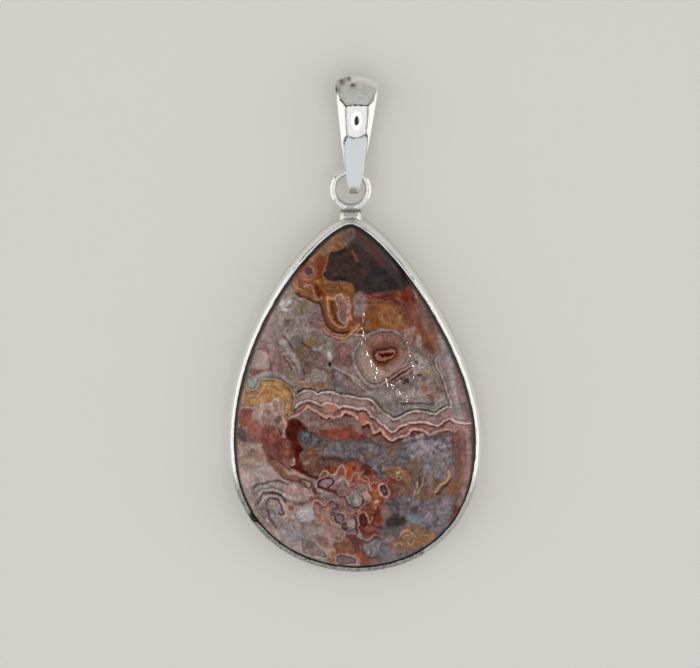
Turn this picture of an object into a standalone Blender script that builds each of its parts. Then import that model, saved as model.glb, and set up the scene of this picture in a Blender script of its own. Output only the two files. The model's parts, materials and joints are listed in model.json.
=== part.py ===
# Silver pendant with a teardrop cabochon of crazy lace agate.
# It lies on its back. +Y runs from the round end to the bail, +Z comes out of the stone's face.
# The origin is on the surface it lies on, under the middle of the pendant's length and width.

import math

import bmesh
import bpy
from mathutils import Matrix, Vector
from mathutils.geometry import interpolate_bezier

MM = 0.001

# Plan of the bezel's outer wall: the four places where it turns, and how long its curve
# runs straight on before and after each of them
HALF_WIDTH = 14.55 * MM
WIDEST_Y = -13.32 * MM
ROUND_END = Vector((0.19, -28.64)) * MM
POINTED_END = Vector((-0.45, 12.59)) * MM
ROUND_END_REACH = 5.8 * MM
POINTED_END_REACH = 3.4 * MM
LOWER_FLANK_REACH = 11.85 * MM
LEFT_FLANK_REACH = 14.0 * MM
RIGHT_FLANK_REACH = 11.55 * MM
POINTS_PER_CURVE = 24

# Pieces that touch are drawn this far apart
GAP = 0.05 * MM

# Back plate
PLATE_THICKNESS = 0.7 * MM
PLATE_CHAMFER = 0.1 * MM

# Bezel: a thin wall whose top is burnished over the edge of the stone
WALL_THICKNESS = 0.35 * MM
SHOULDER_Z = 3.25 * MM
LIP_INSET = 0.69 * MM
LIP_TOP_Z = 4.5 * MM
SHOULDER_STEPS = 5

# Cabochon: flat base, upright girdle and a dome
BASE_CHAMFER = 0.25 * MM
GIRDLE_TOP_Z = 3.72 * MM
DOME_TOP_Z = 6.8 * MM
DOME_CENTRE = Vector((0.0, -12.9)) * MM
DOME_OVAL = Vector((13.2, 18.0)) * MM
DOME_EDGE_INSETS = [0.0, 0.06 * MM, 0.16 * MM, 0.34 * MM, 0.6 * MM]
DOME_LEVELS = [0.93, 0.86, 0.76, 0.63, 0.48, 0.32, 0.15]

# Hanging ring of round wire, and the solder neck that joins it to the bezel's point
RING_CENTRE = Vector((-0.5, 15.69, 2.7)) * MM
RING_RADIUS = 2.03 * MM
WIRE_RADIUS = 0.4 * MM
RING_SEGMENTS = 40
WIRE_SEGMENTS = 12
NECK_START_Y = 11.5 * MM
NECK_END_Y = 13.84 * MM
NECK_HALF_WIDTHS = (1.35 * MM, 0.95 * MM)
NECK_HALF_HEIGHTS = (0.8 * MM, 0.42 * MM)
NECK_SEGMENTS = 20

# Bail: a tapered strap, domed across its width and closed in a loop through the ring.
# Its lengths are measured from the axis that it swings on.
SWING_AXIS = Vector((-0.05, 17.32, 2.7)) * MM
BAIL_FOOT = -2.15 * MM
BAIL_TOP = 11.35 * MM
BAIL_WIDEST = 6.4 * MM
BAIL_HALF_DEPTH = 3.1 * MM
BAIL_FOOT_REACH = 1.35 * MM
BAIL_TOP_REACH = 1.75 * MM
BAIL_FLANK_REACH = 2.6 * MM
BAIL_THICKNESS = 0.5 * MM
BAIL_EDGE_THICKNESS = 0.3 * MM
BAIL_FOOT_HALF_WIDTH = 0.45 * MM
BAIL_TOP_HALF_WIDTH = 2.55 * MM
BAIL_TAPER_POWER = 0.8
BAIL_DOME_RADIUS = 4.5 * MM
BAIL_POINTS_PER_CURVE = 14
BAIL_RAISED = math.radians(3.8)
BAIL_LEAN = math.radians(-1.8)

SILVER = (0.80, 0.79, 0.76, 1.0)
AGATE = (0.20, 0.085, 0.055, 1.0)


def clear_scene():
    for item in list(bpy.data.objects):
        bpy.data.objects.remove(item, do_unlink=True)


def make_material(name, colour, metallic, roughness):
    material = bpy.data.materials.new(name)
    material.use_nodes = True
    shader = material.node_tree.nodes["Principled BSDF"]
    shader.inputs["Base Color"].default_value = colour
    shader.inputs["Metallic"].default_value = metallic
    shader.inputs["Roughness"].default_value = roughness
    return material


def add_object(name, shape, material):
    mesh = bpy.data.meshes.new(name)
    bmesh.ops.recalc_face_normals(shape, faces=shape.faces)
    shape.to_mesh(mesh)
    shape.free()
    mesh.materials.append(material)
    mesh.shade_smooth()
    mesh.set_sharp_from_angle(angle=math.radians(40))
    item = bpy.data.objects.new(name, mesh)
    bpy.context.scene.collection.objects.link(item)
    return item


def curve_loop(anchors, points_per_curve):
    # Each anchor is a point, with the handle before it and the handle after it as offsets.
    loop = []
    for here, after in zip(anchors, anchors[1:] + anchors[:1]):
        start, _, leaving = here
        end, arriving, _ = after
        curve = interpolate_bezier(
            start.to_3d(), (start + leaving).to_3d(),
            (end + arriving).to_3d(), end.to_3d(), points_per_curve + 1)
        loop += [point.to_2d() for point in curve[:-1]]
    return loop


def bezel_plan():
    right = Vector((HALF_WIDTH, WIDEST_Y))
    left = Vector((-HALF_WIDTH, WIDEST_Y))
    across_end = Vector((ROUND_END_REACH, 0.0))
    across_point = Vector((POINTED_END_REACH, 0.0))
    down = Vector((0.0, -LOWER_FLANK_REACH))
    anchors = [
        (ROUND_END, -across_end, across_end),
        (right, down, Vector((0.0, RIGHT_FLANK_REACH))),
        (POINTED_END, across_point, -across_point),
        (left, Vector((0.0, LEFT_FLANK_REACH)), down),
    ]
    return curve_loop(anchors, POINTS_PER_CURVE)


def inset_loop(loop, distance):
    # Moves every point of an anticlockwise loop inwards, square to the loop.
    moved = []
    for index, point in enumerate(loop):
        along = loop[(index + 1) % len(loop)] - loop[index - 1]
        inwards = Vector((-along.y, along.x)).normalized()
        moved.append(point + inwards * distance)
    return moved


def at_height(loop, height):
    return [Vector((point.x, point.y, height)) for point in loop]


def loft(rings, join_ends=False):
    # Extrudes the first ring's edges to each next ring. Returns the mesh and the end edges.
    shape = bmesh.new()
    slot = shape.verts.layers.int.new("slot")
    verts = [shape.verts.new(point) for point in rings[0]]
    for index, vert in enumerate(verts):
        vert[slot] = index
    first_edges = [shape.edges.new((verts[index - 1], vert)) for index, vert in enumerate(verts)]
    last_edges = first_edges
    later_rings = rings[1:] + (rings[:1] if join_ends else [])
    for ring in later_rings:
        grown = bmesh.ops.extrude_edge_only(shape, edges=last_edges)["geom"]
        new_verts = {item for item in grown if isinstance(item, bmesh.types.BMVert)}
        for vert in new_verts:
            vert.co = ring[vert[slot]]
        last_edges = [item for item in grown if isinstance(item, bmesh.types.BMEdge)
                      and set(item.verts) <= new_verts]
    if join_ends:
        bmesh.ops.remove_doubles(shape, verts=shape.verts, dist=GAP / 1000)
    return shape, first_edges, last_edges


def make_back_plate(plan, material):
    inner = inset_loop(plan, PLATE_CHAMFER)
    rings = [
        at_height(inner, 0.0),
        at_height(plan, PLATE_CHAMFER),
        at_height(plan, PLATE_THICKNESS),
    ]
    shape, bottom, top = loft(rings)
    bmesh.ops.edgeloop_fill(shape, edges=bottom)
    bmesh.ops.edgeloop_fill(shape, edges=top)
    return add_object("back_plate", shape, material)


def dome_height(distance_in):
    # Height of the dome's surface at a distance in from the girdle: part of an ellipse
    level = 1.0 - distance_in / (HALF_WIDTH - WALL_THICKNESS - GAP)
    return GIRDLE_TOP_Z + (DOME_TOP_Z - GIRDLE_TOP_Z) * math.sqrt(1.0 - level * level)


def make_bezel(plan, material):
    bottom_z = PLATE_THICKNESS + GAP
    section = [(WALL_THICKNESS, bottom_z), (0.0, bottom_z)]
    for step in range(SHOULDER_STEPS + 1):
        turn = math.pi / 2 * step / SHOULDER_STEPS
        section.append((
            (LIP_INSET - WALL_THICKNESS / 4) * (1.0 - math.cos(turn)),
            SHOULDER_Z + (LIP_TOP_Z - SHOULDER_Z) * math.sin(turn)))
    # The under side of the lip follows the stone, one gap away from it.
    girdle_inset = WALL_THICKNESS + GAP
    for inset in (LIP_INSET, 0.58 * MM, 0.48 * MM):
        section.append((inset, dome_height(inset - girdle_inset) + 1.4 * GAP))
    section.append((WALL_THICKNESS, GIRDLE_TOP_Z))
    rings = [at_height(inset_loop(plan, inset), height) for inset, height in section]
    shape, _, _ = loft(rings, join_ends=True)
    return add_object("bezel", shape, material)


def dome_rings(girdle):
    # Near the edge the contours are parallel to the girdle, and towards the top they turn oval.
    rings = [at_height(inset_loop(girdle, inset), dome_height(inset)) for inset in DOME_EDGE_INSETS]
    span = HALF_WIDTH - WALL_THICKNESS - GAP
    edge_level = 1.0 - DOME_EDGE_INSETS[-1] / span
    edge = [point - DOME_CENTRE for point in inset_loop(girdle, DOME_EDGE_INSETS[-1])]
    for level in DOME_LEVELS:
        part = level / edge_level
        ring = []
        for arm in edge:
            oval_scale = math.hypot(arm.x / DOME_OVAL.x, arm.y / DOME_OVAL.y)
            oval = arm / oval_scale * part
            teardrop = arm * part ** (span / arm.length)
            ring.append(DOME_CENTRE + oval.lerp(teardrop, part * part))
        rings.append(at_height(ring, dome_height(span * (1.0 - level))))
    return rings


def make_cabochon(plan, material):
    girdle = inset_loop(plan, WALL_THICKNESS + GAP)
    base_z = PLATE_THICKNESS + GAP
    rings = [
        at_height(inset_loop(girdle, BASE_CHAMFER), base_z),
        at_height(girdle, base_z + BASE_CHAMFER),
    ]
    rings += dome_rings(girdle)
    top = Vector((DOME_CENTRE.x, DOME_CENTRE.y, DOME_TOP_Z))
    rings.append([top] * len(girdle))
    shape, base, _ = loft(rings)
    bmesh.ops.remove_doubles(shape, verts=shape.verts, dist=GAP / 1000)
    bmesh.ops.edgeloop_fill(shape, edges=base)
    return add_object("cabochon", shape, material)


def make_tool(name, shape, material):
    # A shape that only joins or cuts another: it isn't a piece of the pendant.
    tool = add_object(name, shape, material)
    tool.hide_render = True
    tool.display_type = "WIRE"
    return tool


def neck_shape():
    rings = []
    for y, half_width, half_height in zip(
            (NECK_START_Y, NECK_END_Y), NECK_HALF_WIDTHS, NECK_HALF_HEIGHTS):
        ring = []
        for index in range(NECK_SEGMENTS):
            turn = math.tau * index / NECK_SEGMENTS
            ring.append(Vector((
                RING_CENTRE.x + half_width * math.cos(turn), y,
                RING_CENTRE.z + half_height * math.sin(turn))))
        rings.append(ring)
    shape, lower, upper = loft(rings)
    bmesh.ops.edgeloop_fill(shape, edges=lower)
    bmesh.ops.edgeloop_fill(shape, edges=upper)
    return shape


def clearance_shape(plan):
    # The space of the bezel, one gap wider all round
    outline = inset_loop(plan, -GAP)
    shape, bottom, top = loft([at_height(outline, -LIP_TOP_Z), at_height(outline, 2 * LIP_TOP_Z)])
    bmesh.ops.edgeloop_fill(shape, edges=bottom)
    bmesh.ops.edgeloop_fill(shape, edges=top)
    return shape


def make_hanging_ring(plan, material):
    shape = bmesh.new()
    bmesh.ops.create_circle(
        shape, segments=WIRE_SEGMENTS, radius=WIRE_RADIUS, cap_ends=False)
    bmesh.ops.rotate(
        shape, verts=shape.verts, cent=(0.0, 0.0, 0.0), matrix=Matrix.Rotation(math.pi / 2, 3, "X"))
    bmesh.ops.translate(
        shape, verts=shape.verts, vec=RING_CENTRE + Vector((RING_RADIUS, 0.0, 0.0)))
    bmesh.ops.spin(
        shape, geom=shape.verts[:] + shape.edges[:], cent=RING_CENTRE, axis=(0.0, 0.0, 1.0),
        angle=math.tau, steps=RING_SEGMENTS, use_merge=True, use_duplicate=False)
    ring = add_object("hanging_ring", shape, material)
    neck = make_tool("neck_joined_to_ring", neck_shape(), material)
    clearance = make_tool("space_for_bezel", clearance_shape(plan), material)
    for tool, operation in ((neck, "UNION"), (clearance, "DIFFERENCE")):
        modifier = ring.modifiers.new(tool.name, "BOOLEAN")
        modifier.operation = operation
        modifier.solver = "EXACT"
        modifier.object = tool
    return ring


def bail_half_width(length):
    # The strap widens from its foot to its top, faster at first.
    part = (length - BAIL_FOOT) / (BAIL_TOP - BAIL_FOOT)
    part = min(max(part, 0.0), 1.0)
    return BAIL_FOOT_HALF_WIDTH + (
        BAIL_TOP_HALF_WIDTH - BAIL_FOOT_HALF_WIDTH) * part ** BAIL_TAPER_POWER


def bail_section(half_width):
    # Across the strap: how far out sideways, and how far outwards from the loop
    dome = half_width ** 2 / (2 * BAIL_DOME_RADIUS)
    hollow = dome - (BAIL_THICKNESS - BAIL_EDGE_THICKNESS)
    outer = [(part * half_width, BAIL_THICKNESS / 2 - dome * part * part)
             for part in (-1.0, -0.82, -0.45, 0.0, 0.45, 0.82, 1.0)]
    inner = [(part * half_width, -BAIL_THICKNESS / 2 - hollow * part * part)
             for part in (0.95, 0.5, 0.0, -0.5, -0.95)]
    return outer + inner


def make_bail(material):
    # The loop is drawn along the middle of the strap, seen from the side.
    half_depth = BAIL_HALF_DEPTH - BAIL_THICKNESS / 2
    foot = Vector((BAIL_FOOT + BAIL_THICKNESS / 2, 0.0))
    top = Vector((BAIL_TOP - BAIL_THICKNESS / 2, 0.0))
    up = Vector((BAIL_FLANK_REACH, 0.0))
    foot_out = Vector((0.0, BAIL_FOOT_REACH))
    top_out = Vector((0.0, BAIL_TOP_REACH))
    anchors = [
        (foot, foot_out, -foot_out),
        (Vector((BAIL_WIDEST, -half_depth)), -up, up),
        (top, -top_out, top_out),
        (Vector((BAIL_WIDEST, half_depth)), up, -up),
    ]
    loop = curve_loop(anchors, BAIL_POINTS_PER_CURVE)
    rings = []
    for index, point in enumerate(loop):
        along = (loop[(index + 1) % len(loop)] - loop[index - 1]).normalized()
        outwards = Vector((along.y, -along.x))
        ring = []
        for sideways, out in bail_section(bail_half_width(point.x)):
            place = point + outwards * out
            ring.append(Vector((sideways, place.x, place.y)))
        rings.append(ring)
    shape, _, _ = loft(rings, join_ends=True)
    bail = add_object("bail", shape, material)
    bail.location = SWING_AXIS
    bail.rotation_euler = (BAIL_RAISED, 0.0, BAIL_LEAN)
    return bail


def main():
    clear_scene()
    silver = make_material("polished silver", SILVER, 1.0, 0.12)
    agate = make_material("polished agate", AGATE, 0.0, 0.08)
    plan = bezel_plan()
    make_back_plate(plan, silver)
    make_bezel(plan, silver)
    make_cabochon(plan, agate)
    make_hanging_ring(plan, silver)
    make_bail(silver)


main()
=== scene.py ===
# The looks of a silver pendant with a teardrop cabochon of crazy lace agate.
# Lengths in the dictionaries are in millimetres unless a note says otherwise.

import json
import math

import bmesh
import bpy
import numpy as np
from mathutils import Matrix, Vector, noise
from mathutils.geometry import interpolate_bezier

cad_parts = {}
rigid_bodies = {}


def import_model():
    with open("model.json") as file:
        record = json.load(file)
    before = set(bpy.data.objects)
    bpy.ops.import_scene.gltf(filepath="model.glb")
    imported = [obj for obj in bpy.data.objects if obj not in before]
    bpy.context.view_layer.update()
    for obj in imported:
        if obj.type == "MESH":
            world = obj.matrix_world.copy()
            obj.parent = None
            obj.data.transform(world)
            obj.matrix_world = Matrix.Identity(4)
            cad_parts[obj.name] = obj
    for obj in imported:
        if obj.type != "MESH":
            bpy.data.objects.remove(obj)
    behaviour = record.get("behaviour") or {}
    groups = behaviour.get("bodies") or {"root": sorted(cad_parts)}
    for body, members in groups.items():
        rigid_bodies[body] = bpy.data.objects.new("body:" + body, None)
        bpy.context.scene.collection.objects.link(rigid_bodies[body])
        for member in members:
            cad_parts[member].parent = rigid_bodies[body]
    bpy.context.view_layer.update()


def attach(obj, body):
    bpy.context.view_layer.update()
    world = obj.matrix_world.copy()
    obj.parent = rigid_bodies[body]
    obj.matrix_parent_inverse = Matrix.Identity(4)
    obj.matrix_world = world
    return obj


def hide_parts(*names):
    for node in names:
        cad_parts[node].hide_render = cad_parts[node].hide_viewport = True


mm = 0.001
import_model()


def linear(hexText):
    # An sRGB hex colour as the linear RGBA that Blender's sockets hold
    parts = [int(hexText[i:i + 2], 16) / 255 for i in (1, 3, 5)]
    return [c / 12.92 if c <= 0.04045 else ((c + 0.055) / 1.055) ** 2.4 for c in parts] + [1.0]


def addNode(tree, kind, settings=None, links=None):
    # Settings are the node's own properties, a ramp's stops or input values, links are sockets to join
    # to its inputs.
    node = tree.nodes.new(kind)
    for name, value in (settings or {}).items():
        if name == "stops":
            elements = node.color_ramp.elements
            while len(elements) < len(value):
                elements.new(0.5)
            for element, (place, level) in zip(elements, value):
                element.position = place
                element.color = (level, level, level, 1.0)
        elif isinstance(name, str) and hasattr(node, name):
            setattr(node, name, value)
        else:
            node.inputs[name].default_value = value
    for name, socket in (links or {}).items():
        tree.links.new(socket, node.inputs[name])
    return node


# Camera: the photograph looks down on the pendant, tilted towards its bail.
camera = {
    "target": Vector((-0.568, -0.92, 3.0)),
    "leanRight": 0.02,
    "leanUp": 0.15,
    "distance": 380.0,
    "sizeOfOnePixel": 0.1145,    # at the target
    "photoWidth": 700,           # pixels
    "photoHeight": 668,
    "sensorWidth": 36.0,
}


def cameraAxes():
    backwards = Vector((camera["leanRight"], camera["leanUp"], 0.0))
    backwards.z = math.sqrt(1.0 - backwards.length_squared)
    right = Vector((0.0, 1.0, 0.0)).cross(backwards).normalized()
    return right, backwards.cross(right), backwards


def photoPlace(x, y, z):
    # Where points of the pendant, in millimetres, come in the photograph, in its pixels
    right, up, backwards = (np.array(axis) for axis in cameraAxes())
    eye = np.array(camera["target"]) + camera["distance"] * backwards
    arm = np.stack([x, y, z], axis=-1) - eye
    zoom = camera["distance"] / camera["sizeOfOnePixel"] / -(arm @ backwards)
    return camera["photoWidth"] / 2 + zoom * (arm @ right), camera["photoHeight"] / 2 - zoom * (arm @ up)


def placeCamera():
    right, up, backwards = cameraAxes()
    eye = (camera["target"] + camera["distance"] * backwards) * mm
    data = bpy.data.cameras.new("camera")
    data.sensor_width = camera["sensorWidth"]
    widthSeen = camera["sizeOfOnePixel"] * camera["photoWidth"]
    data.lens = camera["sensorWidth"] * camera["distance"] / widthSeen
    data.clip_start = 0.01
    item = bpy.data.objects.new("camera", data)
    item.matrix_world = Matrix((right, up, backwards)).transposed().to_4x4()
    item.location = eye
    bpy.context.scene.collection.objects.link(item)
    bpy.context.scene.camera = item


placeCamera()
print("camera placed")

# Plan of the bezel's outer wall, as in the frame: where it turns, and how long its curve runs
# straight on before and after each of those places
setting = {
    "halfWidth": 14.55,
    "widestY": -13.32,
    "roundEnd": Vector((0.19, -28.64)),
    "pointedEnd": Vector((-0.45, 12.59)),
    "roundEndReach": 5.8,
    "pointedEndReach": 3.4,
    "lowerFlankReach": 11.85,
    "leftFlankReach": 14.0,
    "rightFlankReach": 11.55,
    "pointsPerCurve": 110,
    "plateThickness": 0.7,
    "plateChamfer": 0.1,
    "plateTarnish": 0.12,
    "wallThickness": 0.35,
    "shoulderHeight": 3.25,
    "lipInset": 0.69,
    "lipTop": 4.5,
    "gap": 0.05,
}

stone = {
    "girdleTop": 3.72,
    "domeTop": 6.8,
    "domeCentre": (0.0, -12.9),
    "domeOval": (13.2, 18.0),
    "edgeZone": 0.6,
    "baseChamfer": 0.25,
    "gridStep": 0.0965,
    "clearOfGirdle": 0.3,        # points of the grid closer to the girdle than this many steps go
    "rimShadeFade": (0.3, -14.0, 6.0),    # low down the painted rim shade is narrower: by how much, from which y, over
}

agate = {
    "ior": 1.54,
    "roughness": 0.025,
    "specularLevel": 0.35,
    "grainSize": 0.22,
    "grainStops": [(0.25, 0.42), (0.75, 0.58)],
    "rimShadeWanderSize": 1.4,
    "rimShadeWanderGain": 0.25,
    # The painted shade along the bezel: its colour, where it fades, how dark it gets, and a noise that makes
    # its edge wander
    "rim": "#221c1a",
    "rimShadeFrom": 0.7,              # millimetres in from the girdle where the painted rim shade begins to fade
    "rimShadeTo": 0.94,
    "rimShadeDepth": 0.93,
}


def curveLoop(anchors, pointsPerCurve):
    # Each anchor is a point, with the handle before it and the handle after it as offsets.
    loop = []
    for here, after in zip(anchors, anchors[1:] + anchors[:1]):
        start, _, leaving = here
        end, arriving, _ = after
        curve = interpolate_bezier(
            start.to_3d(), (start + leaving).to_3d(),
            (end + arriving).to_3d(), end.to_3d(), pointsPerCurve + 1)
        loop += [point.to_2d() for point in curve[:-1]]
    return loop


def bezelPlan():
    right = Vector((setting["halfWidth"], setting["widestY"]))
    left = Vector((-setting["halfWidth"], setting["widestY"]))
    acrossEnd = Vector((setting["roundEndReach"], 0.0))
    acrossPoint = Vector((setting["pointedEndReach"], 0.0))
    down = Vector((0.0, -setting["lowerFlankReach"]))
    anchors = [
        (setting["roundEnd"], -acrossEnd, acrossEnd),
        (right, down, Vector((0.0, setting["rightFlankReach"]))),
        (setting["pointedEnd"], acrossPoint, -acrossPoint),
        (left, Vector((0.0, setting["leftFlankReach"])), down),
    ]
    return curveLoop(anchors, setting["pointsPerCurve"])


def insetLoop(loop, distance):
    # Moves every point of an anticlockwise loop inwards, square to the loop.
    moved = []
    for index, point in enumerate(loop):
        along = loop[(index + 1) % len(loop)] - loop[index - 1]
        moved.append(point + Vector((-along.y, along.x)).normalized() * distance)
    return moved


def atHeight(loop, height):
    return [Vector((point.x, point.y, height)) for point in loop]


def loft(rings, joinEnds=False):
    # Extrudes the edges of the first ring to each next ring, and gives the mesh and its end edges.
    shape = bmesh.new()
    slot = shape.verts.layers.int.new("slot")
    verts = [shape.verts.new(point) for point in rings[0]]
    for index, vert in enumerate(verts):
        vert[slot] = index
    firstEdges = [shape.edges.new((verts[index - 1], vert)) for index, vert in enumerate(verts)]
    lastEdges = firstEdges
    for ring in rings[1:] + (rings[:1] if joinEnds else []):
        grown = bmesh.ops.extrude_edge_only(shape, edges=lastEdges)["geom"]
        newVerts = {item for item in grown if isinstance(item, bmesh.types.BMVert)}
        for vert in newVerts:
            vert.co = ring[vert[slot]]
        lastEdges = [item for item in grown if isinstance(item, bmesh.types.BMEdge)
                     and set(item.verts) <= newVerts]
    if joinEnds:
        bmesh.ops.remove_doubles(shape, verts=shape.verts, dist=0.00005)
    return shape, firstEdges, lastEdges


def finishPiece(name, shape, material, body, node):
    # Turns a shape in millimetres into a piece in metres that rides on a body and stands for a node.
    bmesh.ops.scale(shape, vec=(mm, mm, mm), verts=shape.verts)
    bmesh.ops.recalc_face_normals(shape, faces=shape.faces)
    mesh = bpy.data.meshes.new(name)
    shape.to_mesh(mesh)
    shape.free()
    mesh.materials.append(material)
    mesh.shade_smooth()
    piece = bpy.data.objects.new(name, mesh)
    bpy.context.scene.collection.objects.link(piece)
    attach(piece, body)
    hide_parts(node)
    print(name, len(mesh.polygons), "faces")
    return piece


# The stone's pattern is drawn on sheets: enlarged views of parts of the photograph. A sheet's
# corner is in pixels of the photograph, and points are in the sheet's own units. Widths, depths and
# noise sizes are in pen widths. A pixel is 0.1145 mm on the stone.
sheets = {
    "lower": {"corner": (225.0, 385.0), "unitsPerPixel": 5.917, "pen": 0.169},
    "bandsLeft": {"corner": (286.0, 372.0), "unitsPerPixel": 15.68, "pen": 1.0},
    "bandsRight": {"corner": (380.0, 350.0), "unitsPerPixel": 15.68, "pen": 1.0},
    "arch": {"corner": (234.0, 366.0), "unitsPerPixel": 19.6, "pen": 1.0},
    "upperLeft": {"corner": (250.0, 225.0), "unitsPerPixel": 13.07, "pen": 0.0765},
    "upperRight": {"corner": (345.0, 215.0), "unitsPerPixel": 12.06, "pen": 0.083},
    "leftMiddle": {"corner": (228.0, 340.0), "unitsPerPixel": 11.88, "pen": 0.0842},
    "rightMiddle": {"corner": (350.0, 340.0), "unitsPerPixel": 11.53, "pen": 0.0867},
    "lacy": {"corner": (290.0, 460.0), "unitsPerPixel": 14.25, "pen": 0.0702},
    "eye": {"corner": (340.0, 300.0), "unitsPerPixel": 11.2, "pen": 0.0893},
    "lowerLeft": {"corner": (236.0, 440.0), "unitsPerPixel": 12.06, "pen": 0.083},
    "lowerRight": {"corner": (345.0, 450.0), "unitsPerPixel": 12.06, "pen": 0.083},
    "whole": {"corner": (0.0, 0.0), "unitsPerPixel": 1.0, "pen": 1.0},
}


def valueNoise(x, y, size, seed):
    # Smooth random bumps of one size, from 0 to 1
    x, y = x / size + 31.7 * seed, y / size + 17.9 * seed
    column, row = np.floor(x), np.floor(y)
    across, down = x - column, y - row
    across, down = across * across * (3 - 2 * across), down * down * (3 - 2 * down)

    def corner(right, below):
        value = np.sin((column + right) * 127.1 + (row + below) * 311.7 + seed * 74.7) * 43758.5453
        return value - np.floor(value)

    top = corner(0, 0) + across * (corner(1, 0) - corner(0, 0))
    bottom = corner(0, 1) + across * (corner(1, 1) - corner(0, 1))
    return top + down * (bottom - top)


def layeredNoise(x, y, size, seed):
    # Bumps of three sizes added up, from 0 to 1
    return (4 * valueNoise(x, y, size, seed) + 2 * valueNoise(x, y, size / 2, seed + 1)
            + valueNoise(x, y, size / 4, seed + 2)) / 7


def throughPoints(points, closed=False, steps=5):
    # A smooth curve through given points
    if len(points) < 3:
        return list(points)
    count = len(points)
    curve = []
    for index in range(count if closed else count - 1):
        beside = range(index - 1, index + 3)
        around = [points[other % count if closed else min(max(other, 0), count - 1)] for other in beside]
        for step in range(steps):
            t = step / steps
            weights = (-t + 2 * t * t - t ** 3, 2 - 5 * t * t + 3 * t ** 3,
                       t + 4 * t * t - 3 * t ** 3, -t * t + t ** 3)
            curve.append(tuple(sum(w * p[axis] for w, p in zip(weights, around)) / 2 for axis in (0, 1)))
    if not closed:
        curve.append(points[-1])
    return curve


def lineDistance(x, y, line):
    # Distance of points from an open line
    best = np.full(x.shape, 1e9)
    for (ax, ay), (bx, by) in zip(line, line[1:]):
        dx, dy = bx - ax, by - ay
        part = np.clip(((x - ax) * dx + (y - ay) * dy) / (dx * dx + dy * dy + 1e-12), 0.0, 1.0)
        best = np.minimum(best, np.hypot(x - ax - part * dx, y - ay - part * dy))
    return best


def loopDistance(x, y, loop):
    # Signed distance of points from a closed loop, negative inside it
    best = np.full(x.shape, 1e9)
    inside = np.zeros(x.shape, dtype=bool)
    for (ax, ay), (bx, by) in zip(loop, loop[1:] + loop[:1]):
        dx, dy = bx - ax, by - ay
        part = np.clip(((x - ax) * dx + (y - ay) * dy) / (dx * dx + dy * dy + 1e-12), 0.0, 1.0)
        best = np.minimum(best, np.hypot(x - ax - part * dx, y - ay - part * dy))
        crosses = (ay > y) != (by > y)
        inside ^= crosses & (x < (bx - ax) * (y - ay) / np.where(crosses, by - ay, 1.0) + ax)
    return np.where(inside, -best, best)


def cover(distance, soft):
    # 1 well below distance 0, 0 well above it, smooth between
    part = np.clip(0.5 - distance / soft, 0.0, 1.0)
    return part * part * (3.0 - 2.0 * part)


# What is painted so far: the place of each point in the photograph and its colour, and the sheet in use
canvas = {}


def takeSheet(name):
    # What is drawn from here on is in the units of this sheet
    canvas["sheet"] = name


def penWidths(*lengths):
    # Lengths in pen widths of the sheet in use, as pixels of the photograph
    return [length * sheets[canvas["sheet"]]["pen"] for length in lengths]


def placed(sheetName, points):
    # Points of a sheet, in pixels of the photograph
    sheet = sheets[sheetName]
    left, top = sheet["corner"]
    return [(left + x / sheet["unitsPerPixel"], top + y / sheet["unitsPerPixel"]) for x, y in points]


def near(points, margin):
    xs, ys = [point[0] for point in points], [point[1] for point in points]
    return np.flatnonzero(
        (canvas["x"] > min(xs) - margin) & (canvas["x"] < max(xs) + margin)
        & (canvas["y"] > min(ys) - margin) & (canvas["y"] < max(ys) + margin))


def layOn(index, amount, colour):
    base = canvas["colour"][index]
    canvas["colour"][index] = base + amount[:, None] * (np.array(linear(colour)[:3]) - base)


def ruffled(index, ragged, size, seed):
    if ragged == 0:
        return 0.0
    return ragged * (2 * layeredNoise(canvas["x"][index], canvas["y"][index], size, seed) - 1)


def layBands(index, distance, bands, soft, strength):
    for depth, colour in bands:
        layOn(index, strength * cover(distance + penWidths(depth)[0], soft), colour)


def asBands(bands):
    # One colour, or (depth inside the rim, colour) from the rim inwards, with how far they reach past it
    bands = [(0, bands)] if isinstance(bands, str) else bands
    return bands, max(-penWidths(min(depth for depth, _ in bands))[0], 0)


def fill(outline, bands, soft=8, ragged=4, size=40, strength=1.0, curved=True, seed=1):
    # Colours a closed outline
    soft, ragged, size = penWidths(soft, ragged, size)
    bands, past = asBands(bands)
    outline = placed(canvas["sheet"], outline)
    outline = throughPoints(outline, closed=True) if curved else outline
    index = near(outline, soft + ragged + past)
    distance = loopDistance(canvas["x"][index], canvas["y"][index], outline)
    layBands(index, distance + ruffled(index, ragged, size, seed), bands, soft, strength)


def stroke(points, width, colour, soft=5, ragged=2, size=30, strength=1.0, curved=True, seed=2):
    # Draws a line of one width
    width, soft, ragged, size = penWidths(width, soft, ragged, size)
    line = placed(canvas["sheet"], points)
    line = throughPoints(line) if curved else line
    index = near(line, width + soft + ragged)
    distance = lineDistance(canvas["x"][index], canvas["y"][index], line)
    distance = distance + ruffled(index, ragged, size, seed) - width / 2
    layOn(index, strength * cover(distance, soft), colour)


def turnedPlace(x, y, degrees):
    # How far along a turned direction, and how far across it
    turn = math.radians(degrees)
    return x * math.cos(turn) + y * math.sin(turn), y * math.cos(turn) - x * math.sin(turn)


def disc(centre, radii, turn, bands, soft=6, ragged=2, size=40, strength=1.0, seed=3):
    # Colours an oval. Its centre and radii are in sheet units.
    soft, ragged, size = penWidths(soft, ragged, size)
    bands, past = asBands(bands)
    radii = [radius / sheets[canvas["sheet"]]["unitsPerPixel"] for radius in radii]
    centre = placed(canvas["sheet"], [centre])[0]
    index = near([centre], max(radii) * 1.1 + soft + ragged + past)
    along, across = turnedPlace(canvas["x"][index] - centre[0], canvas["y"][index] - centre[1], turn)
    away = np.hypot(along / radii[0], across / radii[1])
    reach = np.hypot(along, across) / np.maximum(away, 1e-6)
    distance = (away - 1) * np.where(away > 1e-3, reach, min(radii))
    layBands(index, distance + ruffled(index, ragged, size, seed), bands, soft, strength)


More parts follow.
